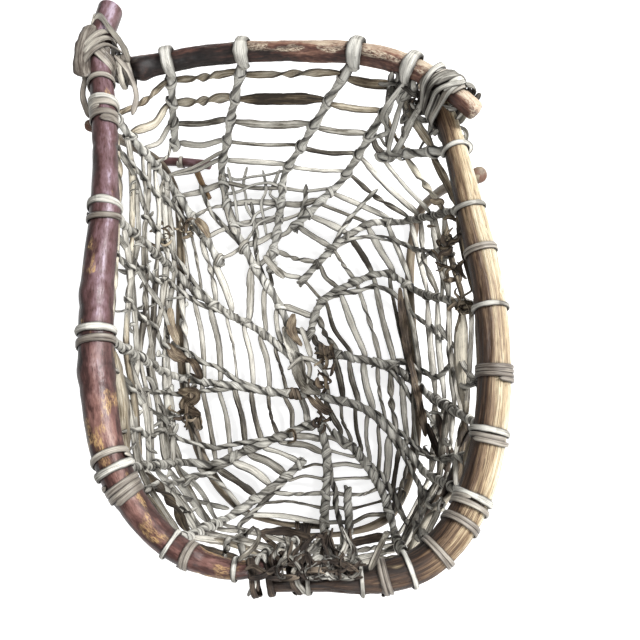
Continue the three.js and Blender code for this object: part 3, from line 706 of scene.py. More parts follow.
def bar_flecks_and_highlight(l, place, outward, rod):
    """Cream speckles kept to the upper side, where they are a painted highlight, more of them towards the
    right end, and the pale cut end.
    """
    painted_highlight = np.clip((outward * (0.1, 0.6, 0.8)).sum(-1) + 0.1, 0, 1)
    spots = rough(place * (0.16, 0.16, 0.05), 67, 2)
    cut_end = rise(l, rod.total - 1, rod.total + 2)
    # Painted highlight: the speckles only show where the bar faces up
    return (0.3 + rise(l, 100, 230)) * painted_highlight * 3.4 * (spots + 0.32) + 1.2 * cut_end


def plain_tone(level):
    return lambda l, place, outward, rod: level + 0.35 * rough(place * (0.12, 0.12, 0.02), 59)


def base_wear(l, place, outward, rod):
    """Reddish spots, and a reddish upper end."""
    return 1.6 * (rough(place * (0.1, 0.1, 0.03), 61) - 0.25) + rise(l, rod.total - 70, rod.total - 40)


left.body("rim_rod_left", "mauve", smooth_relief, left_tone, left_wear)
right.body("rim_rod_right", "peeled", grooved_relief, right_tone, right_wear)
bar.body("crossbar", "dark", rough_relief, bar_tone, bar_flecks_and_highlight, 44)
base_left.body("base_rod_left", "weathered", weaker(rough_relief, 0.6), plain_tone(0.45), base_wear, 28,
               GROUND, "dark_bark")
base_right.body("base_rod_right", "weathered", weaker(rough_relief, 0.6), plain_tone(0.5), base_wear, 28,
                GROUND, "tan_wood")
rail.body("corner_rail", "mauve", weaker(smooth_relief, 0.5), plain_tone(0.5), left_wear, 32)
stick.body("corner_stick", "tan", weaker(grooved_relief, 0.4), plain_tone(0.6), sides=28)


# Windings

# Points in one turn round a rod and round several, and about how long a turn is
WRAP_POINTS = 40
WOUND_POINTS = 44
WRAP_LENGTH = 60


def wrap(shape, rod, s0, turns, width, seed, tone, thick=1.3, start=0.4, lift=0.35, lean=0.0):
    """A strip wound round one rod. lean slants it along the rod."""
    t = np.linspace(0, 1, int(turns * WRAP_POINTS) + 1)
    angle = start + 2 * np.pi * turns * t
    length = t * turns * WRAP_LENGTH
    s = s0 + width * 0.92 * turns * (t - 0.5) + lean * np.cos(angle) + 0.35 * wave(length, 30, seed + 1)
    radial = unit(rod.outward(angle, s))
    r = np.interp(s, rod.s, rod.radii) + lift + thick / 2 + 0.2 * wave(length, 11, seed + 2) + 0.2
    line = rod.read(s, rod.points) + radial * r[:, None]
    strip(shape, line, radial, width, thick, seed, tone, cup=-0.25, ridge=0.3, square=0.45, sides=18)


def wound(shape, middle, axis, across, parts, turns, width, thick, start, pitch, seed, tone, lean,
          layer=0.0, drift=0.0):
    """A strip wound round several rod sections. Each is (centre, along, wide, high)."""
    up = unit(np.cross(axis, across))
    line, outs = [], []
    for q in np.linspace(0, turns, int(turns * WOUND_POINTS) + 1):
        angle = 2 * math.pi * q + start
        along_axis = pitch * (q - turns / 2) + lean * math.cos(angle) + drift
        u = (math.cos(angle), math.sin(angle))
        way = across * u[0] + up * u[1]
        edges = []
        for centre, along, wide, high in parts:
            place = centre + along * along_axis / np.dot(along, axis)
            reach = math.hypot(wide * u[0], high * u[1])
            edges.append(place + across * (wide * wide * u[0] / reach) + up * (high * high * u[1] / reach))
        furthest = max(edges, key=lambda edge: np.dot(edge - middle, way))
        line.append(furthest + way * (0.4 + thick / 2 + layer))
        outs.append(way)
    line, outs = resample(np.array(line), 1.3, np.array(outs))
    kernel = np.ones(5) / 5
    padded = np.pad(line, ((2, 2), (0, 0)), mode="edge")
    line = np.stack([np.convolve(padded[:, i], kernel, "valid") for i in range(3)], -1)
    s = lengths_along(line)
    shade = tone + 0.16 * wave(s, 20, seed + 4) + 0.12 * wave(s, 6, seed + 5)
    strip(shape, line, outs, width, thick, seed, shade, cup=-0.2, ridge=0.35, square=0.5, sides=18,
          wander=0.2)


def joined(rod_a, rod_b, place, wide, high):
    """Middle, axis, across and sections for windings round two rods that lie side by side."""
    a, b = rod_a.station(place), rod_b.station(place)
    along_b = -b[1] if np.dot(b[1], a[1]) < 0 else b[1]
    parts = [(a[0], a[1], a[2] + wide, a[2] + high), (b[0], along_b, b[2] + wide, b[2] + high)]
    return (a[0] + b[0]) / 2, a[1], unit(np.cross(a[1], UP)), parts


def tangled(shape, joint, rng, seed, width, thick, layer, tone, drift, pitch, lean):
    """A winding laid at random, between the lowest and highest value of all but its thickness."""
    wound(shape, *joint, rng.uniform(.5, 1.1), rng.uniform(*width), thick, layer=rng.uniform(*layer),
          start=rng.uniform(0, 6.3), seed=seed, tone=rng.uniform(*tone), drift=rng.uniform(*drift),
          pitch=rng.uniform(*pitch), lean=rng.uniform(*lean))


# The net: the same middle lines as the solid cords

CORNER_RADIUS = 14
CORNER_MARGIN = 6
FIRST_DROP = 31
WALL_COUNT = 5
LAST = 13
WALL_POINTS = 120
BEND_POINTS = 16
ROD_OF = {"l": left, "r": right, "b": bar}
# Rod, place on the rim, foot of the wall, last warp, places over the floor, and True for a
# loosely twined row
ROWS = [
    ("l", (-47.8, 19.4), (-44, 23.1), 13, [(-36, 17.4), (-27.5, 13.3), (-18.2, 9.3), (-7.5, 3)]),
    ("l", (-46.8, -1.9), (-42.5, -.9), 13, [(-29, -2.6), (-15, -4.1), (-5, -4.8)]),
    ("l", (-39.5, -22.6), (-37.5, -18.5), 13, [(-29, -18.9), (-16.8, -15.2), (-7.8, -12.6), (-3, -11.1)]),
    ("l", (-28, -32.4), (-25, -29.6), 10, [(-18.5, -26.3), (-11, -22.6), (-5.5, -18.9)]),
    ("l", (-15.5, -35.7), (-2.5, -32.6), 4, []),
    ("r", (-2, -37), (1, -33.7), 13, [(1.5, -24.3), (2, -18.1), (.5, -11.1)]),
    ("r", (7.5, -36.9), (7.5, -33.7), 8, [(7.5, -24.8)]),
    ("r", (16.5, -35.7), (19.5, -31.9), 13, [(16.8, -24.3), (10.5, -17), (5, -13.3)]),
    ("r", (29.5, -26.3), (28.5, -20.7), 13, [(22, -14.8), (12.5, -7.8), (2, -5.6)]),
    ("r", (33.5, -17.2), (31, -5.2), 13, [(22, .4), (11, 2.8), (.5, 4.4)]),
    ("r", (35.8, 1.9), (30.2, 17.4), 13, [(19.8, 22.2), (9.5, 20), (.5, 15.6), (-3, 8.1)]),
    ("r", (33.2, 19.3), (26, 35.2), 11, [(15.5, 34.4), (4.5, 28.9), (-5, 20.7)]),
    ("r", (30.2, 30.4), (5.2, 51.3), 3, [], True),
    ("b", (21, 44.1), (7, 45.6), 9, [(0, 40), (-7, 34.1)], True),
    ("b", (9, 48.5), (-11.5, 47.4), 11, [(-12.5, 37), (-14.5, 23.7)], True),
    ("b", (-19, 52.6), (-31.5, 48.5), 13, [(-28, 37), (-20, 24.4), (-13, 16.3), (-8.5, 8.9)], True),
    ("b", (-38, 52), (-45.5, 47.8), 4, [], True),
    ("l", (-51, 39.6), (-46.5, 44.4), 9, [(-37.5, 34.1), (-30.5, 25.6)], True),
]
# Rows in front, by number: those with narrow loops and warps, and those with a lighter tone
NARROW_WARPS = (4, 5, 6, 7)
NARROW_LOOPS = (4, 5, 6, 7, 8)
LIGHT_ROWS = (4, 5, 6, 7, 8, 9)


class Row:
    """A row's middle line from its rod to its end, and where the warps cross it."""

    def __init__(self, number, rod, rim, foot, last, floor, loose=False):
        self.number, self.last, self.loose = number, last, loose
        self.light = number in LIGHT_ROWS
        self.rod = ROD_OF[rod]
        self.centre, self.along, self.radius = self.rod.station(plan(*rim))
        foot = plan(*foot, NET_FLOOR)
        wall_end = foot + unit(self.centre - foot) * CORNER_RADIUS
        lines = [np.linspace(self.centre, wall_end, WALL_POINTS)]
        # How far along the wall ends, the floor starts and the row ends
        self.marks = [np.linalg.norm(self.centre - wall_end)]
        if floor:
            spots = [plan(*f, NET_FLOOR) for f in floor]
            floor_start = foot + unit(spots[0] - foot) * CORNER_RADIUS
            t = np.linspace(0, 1, BEND_POINTS)[:, None]
            bend = wall_end * (1 - t) ** 2 + foot * 2 * t * (1 - t) + floor_start * t ** 2
            run = spline([floor_start] + spots, 1.0)
            self.marks.append(self.marks[0] + lengths_along(bend)[-1])
            self.marks.append(self.marks[1] + lengths_along(run)[-1])
            lines += [bend[1:], run[1:]]
        else:
            lines.append(foot[None])
        self.points = np.vstack(lines)
        self.s = lengths_along(self.points)
        self.places = np.array([self.crossing(k) for k in range(last)])
        self.outs = {}

    def crossing(self, k):
        """How far along warp number k, counted from 0, crosses."""
        if k < WALL_COUNT:
            wall = self.marks[0] - CORNER_MARGIN
            first = FIRST_DROP * wall / (RIM_HEIGHT - CORNER_RADIUS)
            return first + (wall - first) * k / (WALL_COUNT - 1)
        low = self.marks[1] + CORNER_MARGIN
        return low + (self.marks[2] - low) / max(self.last - WALL_COUNT - 1, 1) * (k - WALL_COUNT)

    def share(self, q):
        """q runs from the rim (0) over the foot of the wall (1) to the hub (2)."""
        foot = (self.marks[0] + self.marks[1]) / 2
        return self.at(np.interp(q, (0, 1, 2), (0, foot, self.marks[2])))

    def at(self, s):
        s = np.asarray(s, dtype=float)
        over = np.clip(s - self.s[-1], 0, None)
        return read_at(s, self.s, self.points) + over[..., None] * unit(self.points[-1] - self.points[-4])

    def way(self, s):
        return unit(self.at(np.asarray(s) + 2) - self.at(np.asarray(s) - 2))


rows = [Row(i + 1, *r) for i, r in enumerate(ROWS)]
# Half the stretch that a warp runs straight where it passes through a row
WARP_HALF = 4.6


def crossed_by(k):
    return [row for row in rows if row.last >= k]


def warp_line(k):
    """Places and facings of one warp. It also notes, for each row, the way it faces there."""
    its = crossed_by(k)
    centres = np.array([r.at(r.places[k - 1]) for r in its])
    before = np.roll(centres, 1, axis=0)
    after = np.roll(centres, -1, axis=0)
    run = unit(unit(after - centres) + unit(centres - before))
    points, outs = [], []
    for i, row in enumerate(its):
        down = row.way(row.places[k - 1])
        out = unit(np.cross(down, run[i]))
        row.outs[k] = out
        square = unit(np.cross(out, down))
        gap = np.linalg.norm(after[i] - centres[i])
        jig = np.array([wave([13.0 * i + 7 * k], 1.0, 100 + a)[0] for a in range(3)])
        sag = UP * 0.03 * gap * (k <= WALL_COUNT)
        middle = (centres[i] + after[i]) / 2 + jig * min(0.1 * gap, 4.5) - sag
        points += [centres[i] - square * WARP_HALF, centres[i], centres[i] + square * WARP_HALF, middle]
        outs += [out, out, out, out]
    for i in range(3, len(outs), 4):
        outs[i] = unit(outs[i - 1] + outs[(i + 1) % len(outs)])
    return np.array(points), np.array(outs)


def roll_to_view(line, outs, j):
    """The turn, at most a quarter either way, that shows a strip's wide side from above."""
    run = unit(line[(j + 1) % len(line)] - line[j - 1])
    across = unit(np.cross(run, outs[j]))
    roll = math.atan2(-VIEW @ across, VIEW @ np.cross(across, run))
    return (roll + math.pi / 2) % math.pi - math.pi / 2


# A warp's width in the rows, and the most and least it adds between them
WARP_WIDE = 5.0
WARP_LEAST = 4.0
WARP_MORE = 6.4
# How far apart two rows have to be for a warp to be at its broadest between them and for it
# to twist there, and in which share of such places it does
BROAD_GAP = 34
TWIST_GAP = 26
TWIST_SHARE = 0.3
# The two top warps are broader and browner
TOP_WARPS = 2


def make_warp(k):
    """One strip round the basket. Each stretch between two rows has its own width, shade, roll and twist."""
    name = f"warp_{k:02d}"
    seed = seed_of(name)
    rng = np.random.default_rng(seed)
    points, outs = warp_line(k)
    line, outs = spline(points, 1.3, outs, closed=True)
    line, outs = line[:-1], outs[:-1]
    s = lengths_along(line)
    total = s[-1] + np.linalg.norm(line[-1] - line[0])
    at = np.array([s[np.argmin(np.linalg.norm(line - c, axis=1))] for c in points[1::4]])
    ends = np.append(at[1:], at[0] + total)
    gaps = ends - at
    place = np.where(s < at[0], s + total, s)
    i = np.clip(np.searchsorted(at, place, side="right") - 1, 0, len(at) - 1)
    t = (place - at[i]) / gaps[i]
    window = np.clip(1.5 * np.sin(np.pi * t), 0, 1)
    its = crossed_by(k)
    back = np.array([row.loose for row in its])
    front = np.array([row.light for row in its])
    broad = WARP_LEAST + WARP_MORE * rng.beta(1.3, 1.6, len(at)) * np.clip(gaps / BROAD_GAP, 0.4, 1)
    broad *= 1.3 if k <= TOP_WARPS else 1
    broad *= np.array([0.68 if row.number in NARROW_WARPS else 0.94 for row in its])
    shades = 0.49 + 0.33 * back + 0.1 * front + 0.4 * rng.standard_normal(len(at))
    shades = np.clip(shades, -0.05, 1.1)
    rolls = [roll_to_view(line, outs, int(np.argmin(np.abs(place - m)))) for m in (at + ends) / 2]
    rolls = 0.85 * np.array(rolls) + 0.3 * rng.standard_normal(len(at))
    twist = 2 * np.pi * (rng.random(len(at)) < TWIST_SHARE) * (gaps > TWIST_GAP)
    turn = rolls[i] * window + twist[i] * step(t, 0.2, 0.8)
    narrow = np.where(twist[i] > 0, 0.8, 1)
    wide = WARP_WIDE + (broad[i] * narrow - WARP_WIDE) * window
    tone = shades[i] * window + 0.45 * (1 - window) + 0.16 * wave(s, 11, seed + 6)
    shape = Shape()
    strip(shape, line, outs, wide, 2.4 + 0.12 * wide, seed, tone, cup=0.25, ridge=0.26, square=0.75,
          closed=True, turn=turn, wander=0.2)
    shape.make(name + "_strip", "top_warp" if k <= TOP_WARPS else "warp", name)


for k in range(1, LAST + 1):
    make_warp(k)

STRAND_WIDE = 7.1
STRAND_THICK = 4.0
# How far a strand lies from the row's middle, between two warps and at a warp
R_MID = 1.7
R_WARP = 3.6
# A strand makes a half turn in about this length, and in so many times it where a row is loose
HALF_TURN = 14
LOOSE_TURN = 2.3


def strand(row, sign, seed, scale=1.0):
    """One strand's line with the way it faces, from the rod to the row's end."""
    lead = row.radius + 9
    tail = 8 + 4 * abs(noise([[row.number * 1.3, sign * 2.2, 0.4]], seed)[0])
    end = row.places[-1]
    s = np.arange(lead, end + tail, 1.1)
    knots = np.concatenate([[lead], row.places, [end + tail + 1]])
    halves = np.round(np.diff(row.places) / (HALF_TURN * (LOOSE_TURN if row.loose else 1)))
    angle_at = math.pi * np.concatenate([[0 if row.loose else -2, 0], np.cumsum(np.clip(halves, 1, 3))])
    angle_at = np.append(angle_at, angle_at[-1] + 0.9)
    i = np.clip(np.searchsorted(knots, s, side="right") - 1, 0, len(knots) - 2)
    t = (s - knots[i]) / (knots[i + 1] - knots[i])
    ease = t - np.sin(2 * np.pi * t) / (2 * np.pi) * 0.55
    angle = angle_at[i] + (angle_at[i + 1] - angle_at[i]) * ease + 0.45 * wave(s, 16, row.number * 3 + 1)
    outs = [row.outs[k] for k in range(1, row.last + 1)]
    outs = np.array([outs[0]] + outs + [outs[-1]])
    out = outs[i] * (1 - t[:, None]) + outs[i + 1] * t[:, None]
    near = np.min(np.abs(s[:, None] - row.places[None]), axis=1)
    mid = R_MID - (0.2 if row.loose else 0)
    reach = mid + (R_WARP - mid) * hill(near, 0, 4.5) + 0.5 * wave(s, 9, seed + 2)
    reach = reach + 2.2 * rise(s, end + 2, end + 8) ** 2
    way = row.way(s)
    side = unit(np.cross(way, out))
    out = unit(np.cross(side, way))
    radial = sign * around(angle, out, side)
    wobble = 1.1 * np.stack([wave(s, 23, seed + 50 + a) for a in range(3)], -1)
    return row.at(s) + wobble + radial * reach[:, None] * scale, radial


def loop(row, thick):
    """The fold over the rod, from one strand to the other."""
    down = row.at(row.places[0]) - row.centre
    down = unit(down - np.dot(down, row.along) * row.along)
    out = np.cross(down, row.along)
    out = out if np.dot(out, row.outs[1]) > 0 else -out
    ring = row.radius + 0.5 + thick / 2 + (1.2 if row.rod is bar else 0)
    angles = np.radians(np.arange(50, 311, 20))
    radial = around(angles, down, out)
    lean = 2.2 * noise([[row.number * 1.7, 0.3, 0.6]], 5)[0]
    return row.centre + radial * ring + np.cos(angles)[:, None] * row.along * lean, radial


# Half the width and height of a crossing that a knot goes round
KNOT_WIDE = 3.6
KNOT_HIGH = 4.6


def knot(shape, row, k, size, seed, tone):
    """A strip tied slantwise round the crossing of a row and a warp."""
    rng = np.random.default_rng(seed)
    at = row.places[k - 1] + rng.normal(0, 1.2)
    centre, along = row.at(at), row.way(at)
    across = unit(np.cross(along, row.outs[k]))
    parts = [(centre, along, KNOT_WIDE * size, KNOT_HIGH * size)]
    wound(shape, centre, along, across, parts, rng.uniform(1.0, 1.5), rng.uniform(3.8, 6.2), 1.7,
          start=rng.uniform(0, 6.3), pitch=2.6, seed=seed, tone=tone, lean=rng.uniform(2.0, 4.0) * (-1) ** k)


# How wide and thick each rod's loops are, and the narrow ones in front
LOOP_SIZE = {left: (7.4, 2.2), right: (4.8, 1.5), bar: (13.0, 3.6)}
NARROW_LOOP = (3.6, 1.3)


def make_row(row):
    """Both strands and the fold as one strip, and the knots on it."""
    name = f"twined_row_{row.number:02d}"
    seed = seed_of(name)
    loop_wide, loop_thick = NARROW_LOOP if row.number in NARROW_LOOPS else LOOP_SIZE[row.rod]
    first, first_outs = strand(row, 1, seed)
    second, second_outs = strand(row, -1, seed)
    fold, fold_outs = loop(row, loop_thick)
    outs = np.vstack([first_outs[::-1], fold_outs, second_outs])
    line, outs = spline(np.vstack([first[::-1], fold, second]), 1.25, outs)
    s = lengths_along(line)
    from_fold = np.abs(s - s[-1] / 2)
    own = 0.16 * wave([row.number * 3.3], 1.0, 5)[0] + 0.2 * (row.number == 2)
    own += 0.5 * row.loose + 0.12 * row.light
    on_rod = np.exp(-(from_fold / (row.radius * 2.4)) ** 4)
    floor_share = step(from_fold, row.marks[0], row.marks[-1])
    near = np.min(np.linalg.norm(line[:, None] - row.at(row.places)[None], axis=2), axis=1)
    wide = STRAND_WIDE - 0.7 + 0.9 * floor_share + 2 * row.loose + 2.2 * hill(near, 0, 6)
    wide = wide * (1 - on_rod) + loop_wide * on_rod
    thick = (STRAND_THICK + 0.4 * floor_share) * (1 - on_rod) + loop_thick * on_rod
    tone = 0.5 + own + 0.14 * np.sign(s - s[-1] / 2)
    tone = tone + 0.3 * wave(s, 40, seed + 5) + 0.24 * wave(s, 8, seed + 6)
    tone = tone + (0.04 - 0.32 * row.loose) * on_rod
    shape = Shape()
    strip(shape, line, outs, wide, thick, seed, tone, cup=-0.25, ridge=0.3, square=0.75, taper=(7, 7),
          wander=0.3)
    rng = np.random.default_rng(seed)
    for k in range(1, row.last + 1):
        if row.loose or rng.random() < 0.6:
            size = rng.uniform(0.9, 1.15) * (1.2 if row.loose else 1)
            knot(shape, row, k, size, seed + k, 0.5 + own + rng.uniform(-.25, .3))
    shape.make(name + "_cord", "cord", name)


for row in rows:
    make_row(row)


# Thinner cords and loose strips that join the warps between the rows

# A strip's seed is its table's first seed and its number in the table together


class SideCord(Row):
    """Crosses warps first to last, at shares of the way between two rows."""

    def __init__(self, number, a, b, t0, t1, first, last):
        self.number, self.last, self.loose, self.radius = number, last - first + 1, True, -9
        self.outs = {}
        rng = np.random.default_rng(900 + number)
        here, there = rows[a - 1], rows[b - 1]
        knots = []
        for i, k in enumerate(range(first, last + 1)):
            f = i / (last - first)
            t = t0 + (t1 - t0) * f ** 1.6 + 0.06 * (1 - f) * rng.standard_normal()
            knots.append(here.at(here.places[k - 1]) * (1 - t) + there.at(there.places[k - 1]) * t)
            self.outs[i + 1] = unit(here.outs[k] + there.outs[k])
        before = knots[0] + unit(knots[0] - knots[1]) * 7
        self.points = spline([before] + knots, 1.0)
        self.s = lengths_along(self.points)
        self.places = np.array([self.s[np.argmin(np.linalg.norm(self.points - k, axis=1))] for k in knots])


# Rows on both sides, shares of the way between them, first and last warp
SIDE_CORDS = [
    (18, 1, .35, 0, 1, 9), (18, 1, .7, 1, 3, 8), (1, 2, .3, 0, 1, 9), (1, 2, .66, 1, 2, 11),
    (2, 3, .35, 0, 1, 9), (2, 3, .66, 1, 1, 11), (3, 4, .35, 0, 1, 9),
    (4, 6, .3, 0, 1, 10), (6, 8, .3, 0, 4, 11),
    (8, 9, .35, 0, 1, 11), (8, 9, .7, 1, 2, 9), (9, 10, .3, 0, 1, 11), (9, 10, .7, 1, 4, 9),
    (10, 11, .33, 0, 1, 9), (10, 11, .68, 1, 4, 11), (11, 12, .5, 1, 2, 9), (12, 14, .5, 0, 5, 9),
    (14, 15, .5, 0, 6, 9), (15, 16, .5, 1, 7, 11), (16, 18, .5, 0, 6, 9),
]
for number, numbers in enumerate(SIDE_CORDS, 1):
    cord = SideCord(number, *numbers)
    shape = Shape()
    for sign in (1, -1):
        seed = 3000 + 10 * number + sign
        line, outs = strand(cord, sign, seed, 0.85)
        s = lengths_along(line)
        tone = 0.46 + 0.12 * sign + 0.3 * wave(s, 35, seed) + 0.22 * wave(s, 8, seed + 1)
        wide = 4.6 + 0.9 * wave(s, 30, seed + 2)
        strip(shape, line, outs, wide, 2.7, seed, tone, cup=-0.2, ridge=0.24, square=0.75, taper=(6, 6),
              wander=0.22)
    shape.make(f"side_cord_{number:02d}", "cord")


def loose(shape, points, width, thick, seed, tone, roll, cup=0.5, taper=(6, 6), jig=0.0, ridge=0.35):
    """A single strip, its wide side more or less towards the mouth of the basket. A high
    ridge crumples it."""
    points = np.array(points, dtype=float)
    if jig:
        points = points + np.random.default_rng(seed).normal(0, jig, points.shape)
    line = spline(points, 1.3)
    _, normal, _ = carried(line, VIEW)
    s = lengths_along(line)
    shade = tone + 0.2 * wave(s, 18, seed + 4) + 0.14 * wave(s, 6, seed + 5)
    sides, rim = (16, 1) if ridge < 1 else (26, 5)
    strip(shape, line, normal, width, thick, seed, shade, cup=cup, ridge=ridge, square=0.6, taper=taper,
          wander=0.28, turn=roll * (0.4 + wave(s, 35, seed + 6)), sides=sides, rim=rim)


def net_place(a, b, t, q, lift=0.0):
    """A share t of the way from row a to row b. q runs from the rim (0) to the foot (1) and the hub (2)."""
    return rows[a - 1].share(q) * (1 - t) + rows[b - 1].share(q) * t + VIEW * lift


# Long loose strips that run along the walls: rows passed, heights, width, tone
WALL_STRIPS = [
    ((18, 1, 2, 3), (.3, .42, .36, .5), 6.5, .62), ((18, 1, 2), (.62, .5, .74), 5.5, .4),
    ((1, 2, 3, 4), (.2, .5, .3, .44), 7.0, .7), ((1, 2, 3), (.85, .7, .92), 8.0, .5),
    ((2, 3, 4), (.12, .3, .16), 6.0, .45), ((18, 1, 2, 3), (.86, 1.02, .95, .8), 7.0, .6),
    ((2, 3, 4), (.62, .86, .7), 6.0, .3), ((16, 18, 1), (.8, .9, .72), 5.0, .55),
    ((3, 4, 6), (.3, .56, .42), 6.5, .5), ((4, 6, 7, 8), (.25, .5, .38, .6), 6.0, .65),
    ((7, 8, 9), (.3, .2, .45), 6.0, .55),
    ((8, 9, 10), (.5, .72, .6), 7.5, .3), ((9, 10, 11), (.25, .36, .2), 5.0, .6),
    ((10, 11, 12), (.4, .55, .45), 6.0, .4), ((11, 12), (.6, .3), 5.0, .5),
]
shape = Shape()
for n, (numbers, heights, width, tone) in enumerate(WALL_STRIPS):
    path = []
    for j, (number, q) in enumerate(zip(numbers, heights)):
        path.append(net_place(number, number, 0, q, 3.5 if j % 2 else -3.5))
        if j + 1 < len(numbers):
            path.append(net_place(number, numbers[j + 1], .5, (q + heights[j + 1]) / 2 + .04 * (-1) ** j, 1))
    loose(shape, path, width * 0.85, 2.0, 400 + n, tone, 0.7, jig=1.5)
shape.make("wall_strips", "warp")

# Strips that run slantwise down the walls: rows, shares and heights at both ends, width
SLANTED = [
    (18, 1, .3, .9, .16, .95, 5), (1, 2, .1, .6, .12, 1.0, 5.5), (1, 2, .75, .2, .2, 1.1, 4.5),
    (2, 3, .2, .7, .1, .9, 6), (2, 3, .9, .4, .15, 1.1, 5), (3, 4, .2, .8, .12, 1.1, 5.5),
    (4, 6, .5, .2, .1, .9, 6.5), (6, 7, .3, .7, .1, 1.1, 5), (8, 9, .2, .8, .12, 1.0, 6),
    (9, 10, .6, .1, .12, 1.1, 5), (10, 11, .3, .8, .12, .8, 5), (11, 12, .8, .4, .1, .9, 4.5),
]
shape = Shape()
for n, (a, b, t0, t1, q0, q1, width) in enumerate(SLANTED):
    path = [net_place(a, b, t0 + (t1 - t0) * f, q0 + (q1 - q0) * f, 3 * (-1) ** i)
            for i, f in enumerate(np.linspace(0, 1, 5))]
    loose(shape, path, width, 2.0, 500 + n, 0.3 + 0.5 * ((n * 7) % 5) / 4, 0.8, jig=1.8)
shape.make("slanted_strips", "cord")

# Fine netting in the far left part of the floor, between rows 16 and 15
shape = Shape()
for i, t in enumerate(np.linspace(.1, .9, 4)):
    path = [net_place(16, 15, t + .06 * math.sin(3 * i + j), q, 1)
            for j, q in enumerate(np.linspace(.96, 1.5, 6))]
    loose(shape, path, 4.0, 1.8, 600 + i, 0.85, 0.6, jig=2.4)
for i, q in enumerate(np.linspace(1.02, 1.44, 5)):
    path = [net_place(16, 15, t, q + .03 * math.sin(2 * i + 5 * t), 1) for t in np.linspace(0, 1, 5)]
    loose(shape, path, 3.8, 1.8, 620 + i, 0.85, 0.6, jig=2.4)
shape.make("fine_netting", "cord")


def caught(shape, table, seed, thick, roll, **how):
    """Strips from a table of places, width and tone."""
    for n, (places, width, tone) in enumerate(table):
        loose(shape, places, width, thick, seed + n, tone, roll, **how)


# Broad torn strips caught in the net
shape = Shape()
caught(shape, [
    ([(-150, 186, -178), (-142, 172, -174), (-133, 160, -180)], 14.3, .75),
    ([(-172, 72, -172), (-166, 52, -176), (-161, 30, -178)], 11.7, .75),
    ([(-168, 30, -172), (-158, 16, -176), (-149, 4, -178)], 15.6, .3),
    ([(-150, 12, -176), (-139, 4, -168), (-136, -6, -178), (-143, -2, -182)], 10.4, .15),
    ([(-156, -22, -178), (-140, -30, -170), (-146, -46, -176), (-130, -50, -172)], 15.6, .45),
    ([(-148, -40, -182), (-134, -52, -176), (-130, -66, -180)], 14.3, .65),
    ([(-15, -28, -182), (-4, -42, -177), (8, -54, -183)], 9.1, .3),
    ([(-6, -22, -184), (4, -38, -180), (14, -46, -183)], 6.5, .4),
    ([(-33, 64, -182), (-28, 46, -177), (-25, 28, -182)], 11.7, .55),
    ([(93, 98, -178), (98, 60, -180), (104, 20, -182), (107, -30, -181), (113, -76, -174)], 9.75, .3),
    ([(-35, -66, -184), (-26, -70, -178), (-24, -80, -182), (-32, -80, -185)], 4.55, .55),
], 700, 1.1, 0.4, cup=1.8, taper=(24, 24), jig=2.5, ridge=2.4)
shape.make("brown_strips", "brown")

# Pale strips, a thick one along row 16, and two large knots
shape = Shape()
caught(shape, [
    ([(-22, 50, -181), (-16, 32, -176), (-10, 14, -180)], 8, .7),
    ([(-184, -47, -104), (-178, -74, -110), (-171, -100, -104)], 8, .55),
    ([(-166, -47, -140), (-160, -76, -146), (-153, -104, -140)], 8.5, .5),
    ([(-67, 140, -182), (-56, 124, -177), (-42, 110, -180)], 9, .6),
    ([(-36, 0, -181), (-20, 12, -176), (-4, 8, -180), (10, -8, -183)], 5, .75),
    ([(-28, 22, -182), (-12, 4, -178), (-14, -16, -181)], 5, .65),
], 740, 1.6, 0.6, cup=1.2, taper=(9, 9))
loose(shape, rows[15].share(np.linspace(1.02, 1.4, 5)) + VIEW * 3, 11, 2.4, 755, .7, 0.5, ridge=0.7)
knot(shape, rows[15], 9, 1.9, 756, .6)
knot(shape, rows[17], 9, 1.6, 757, .5)
shape.make("pale_strips", "warp")

shape = Shape()
caught(shape, [
    ([(114, -58, -122), (124, -84, -126), (134, -116, -112)], 9, .45),
    ([(108, -66, -140), (118, -92, -138), (124, -118, -124)], 7, .3),
    ([(74, -184, -112), (92, -170, -122), (112, -150, -112)], 8, .4),
    ([(134, -82, -60), (122, -112, -72), (103, -150, -60)], 8, .3),
    ([(120, -96, -90), (112, -128, -100), (92, -160, -92)], 6, .5),
    ([(28, -184, -150), (44, -178, -164), (66, -174, -150)], 9, .35),
    ([(-60, -172, -130), (-34, -168, -150), (-8, -176, -140)], 8, .3),
], 780, 1.6, 0.7, cup=1.0, taper=(9, 9), jig=1.0)
shape.make("dark_strips", "fibre")


def curl(rng, centre, start, heading, steps, turn, pull, reach):
    """A path that wanders from start and is pulled towards the centre."""
    path = [start]
    for _ in range(steps):
        heading = unit(heading + rng.normal(0, turn, 3) + pull * unit(centre - path[-1]))
        path.append(path[-1] + heading * rng.uniform(*reach))
    return path


def tuft(shape, centre, size, count, seed, tone, width):
    """Short curled shreds round one place."""
    rng = np.random.default_rng(seed)
    centre = np.array(centre)
    for n in range(count):
        start = centre + rng.normal(0, 1, 3) * size
        path = curl(rng, centre, start, rng.normal(0, 1, 3), 3, 0.45, 0.5, (4, 8))
        own_width = width * rng.uniform(0.6, 1.5)
        loose(shape, path, own_width, 1.1, seed + n, tone + rng.uniform(-.35, .35), 1.2, 0.8, ridge=0.7)


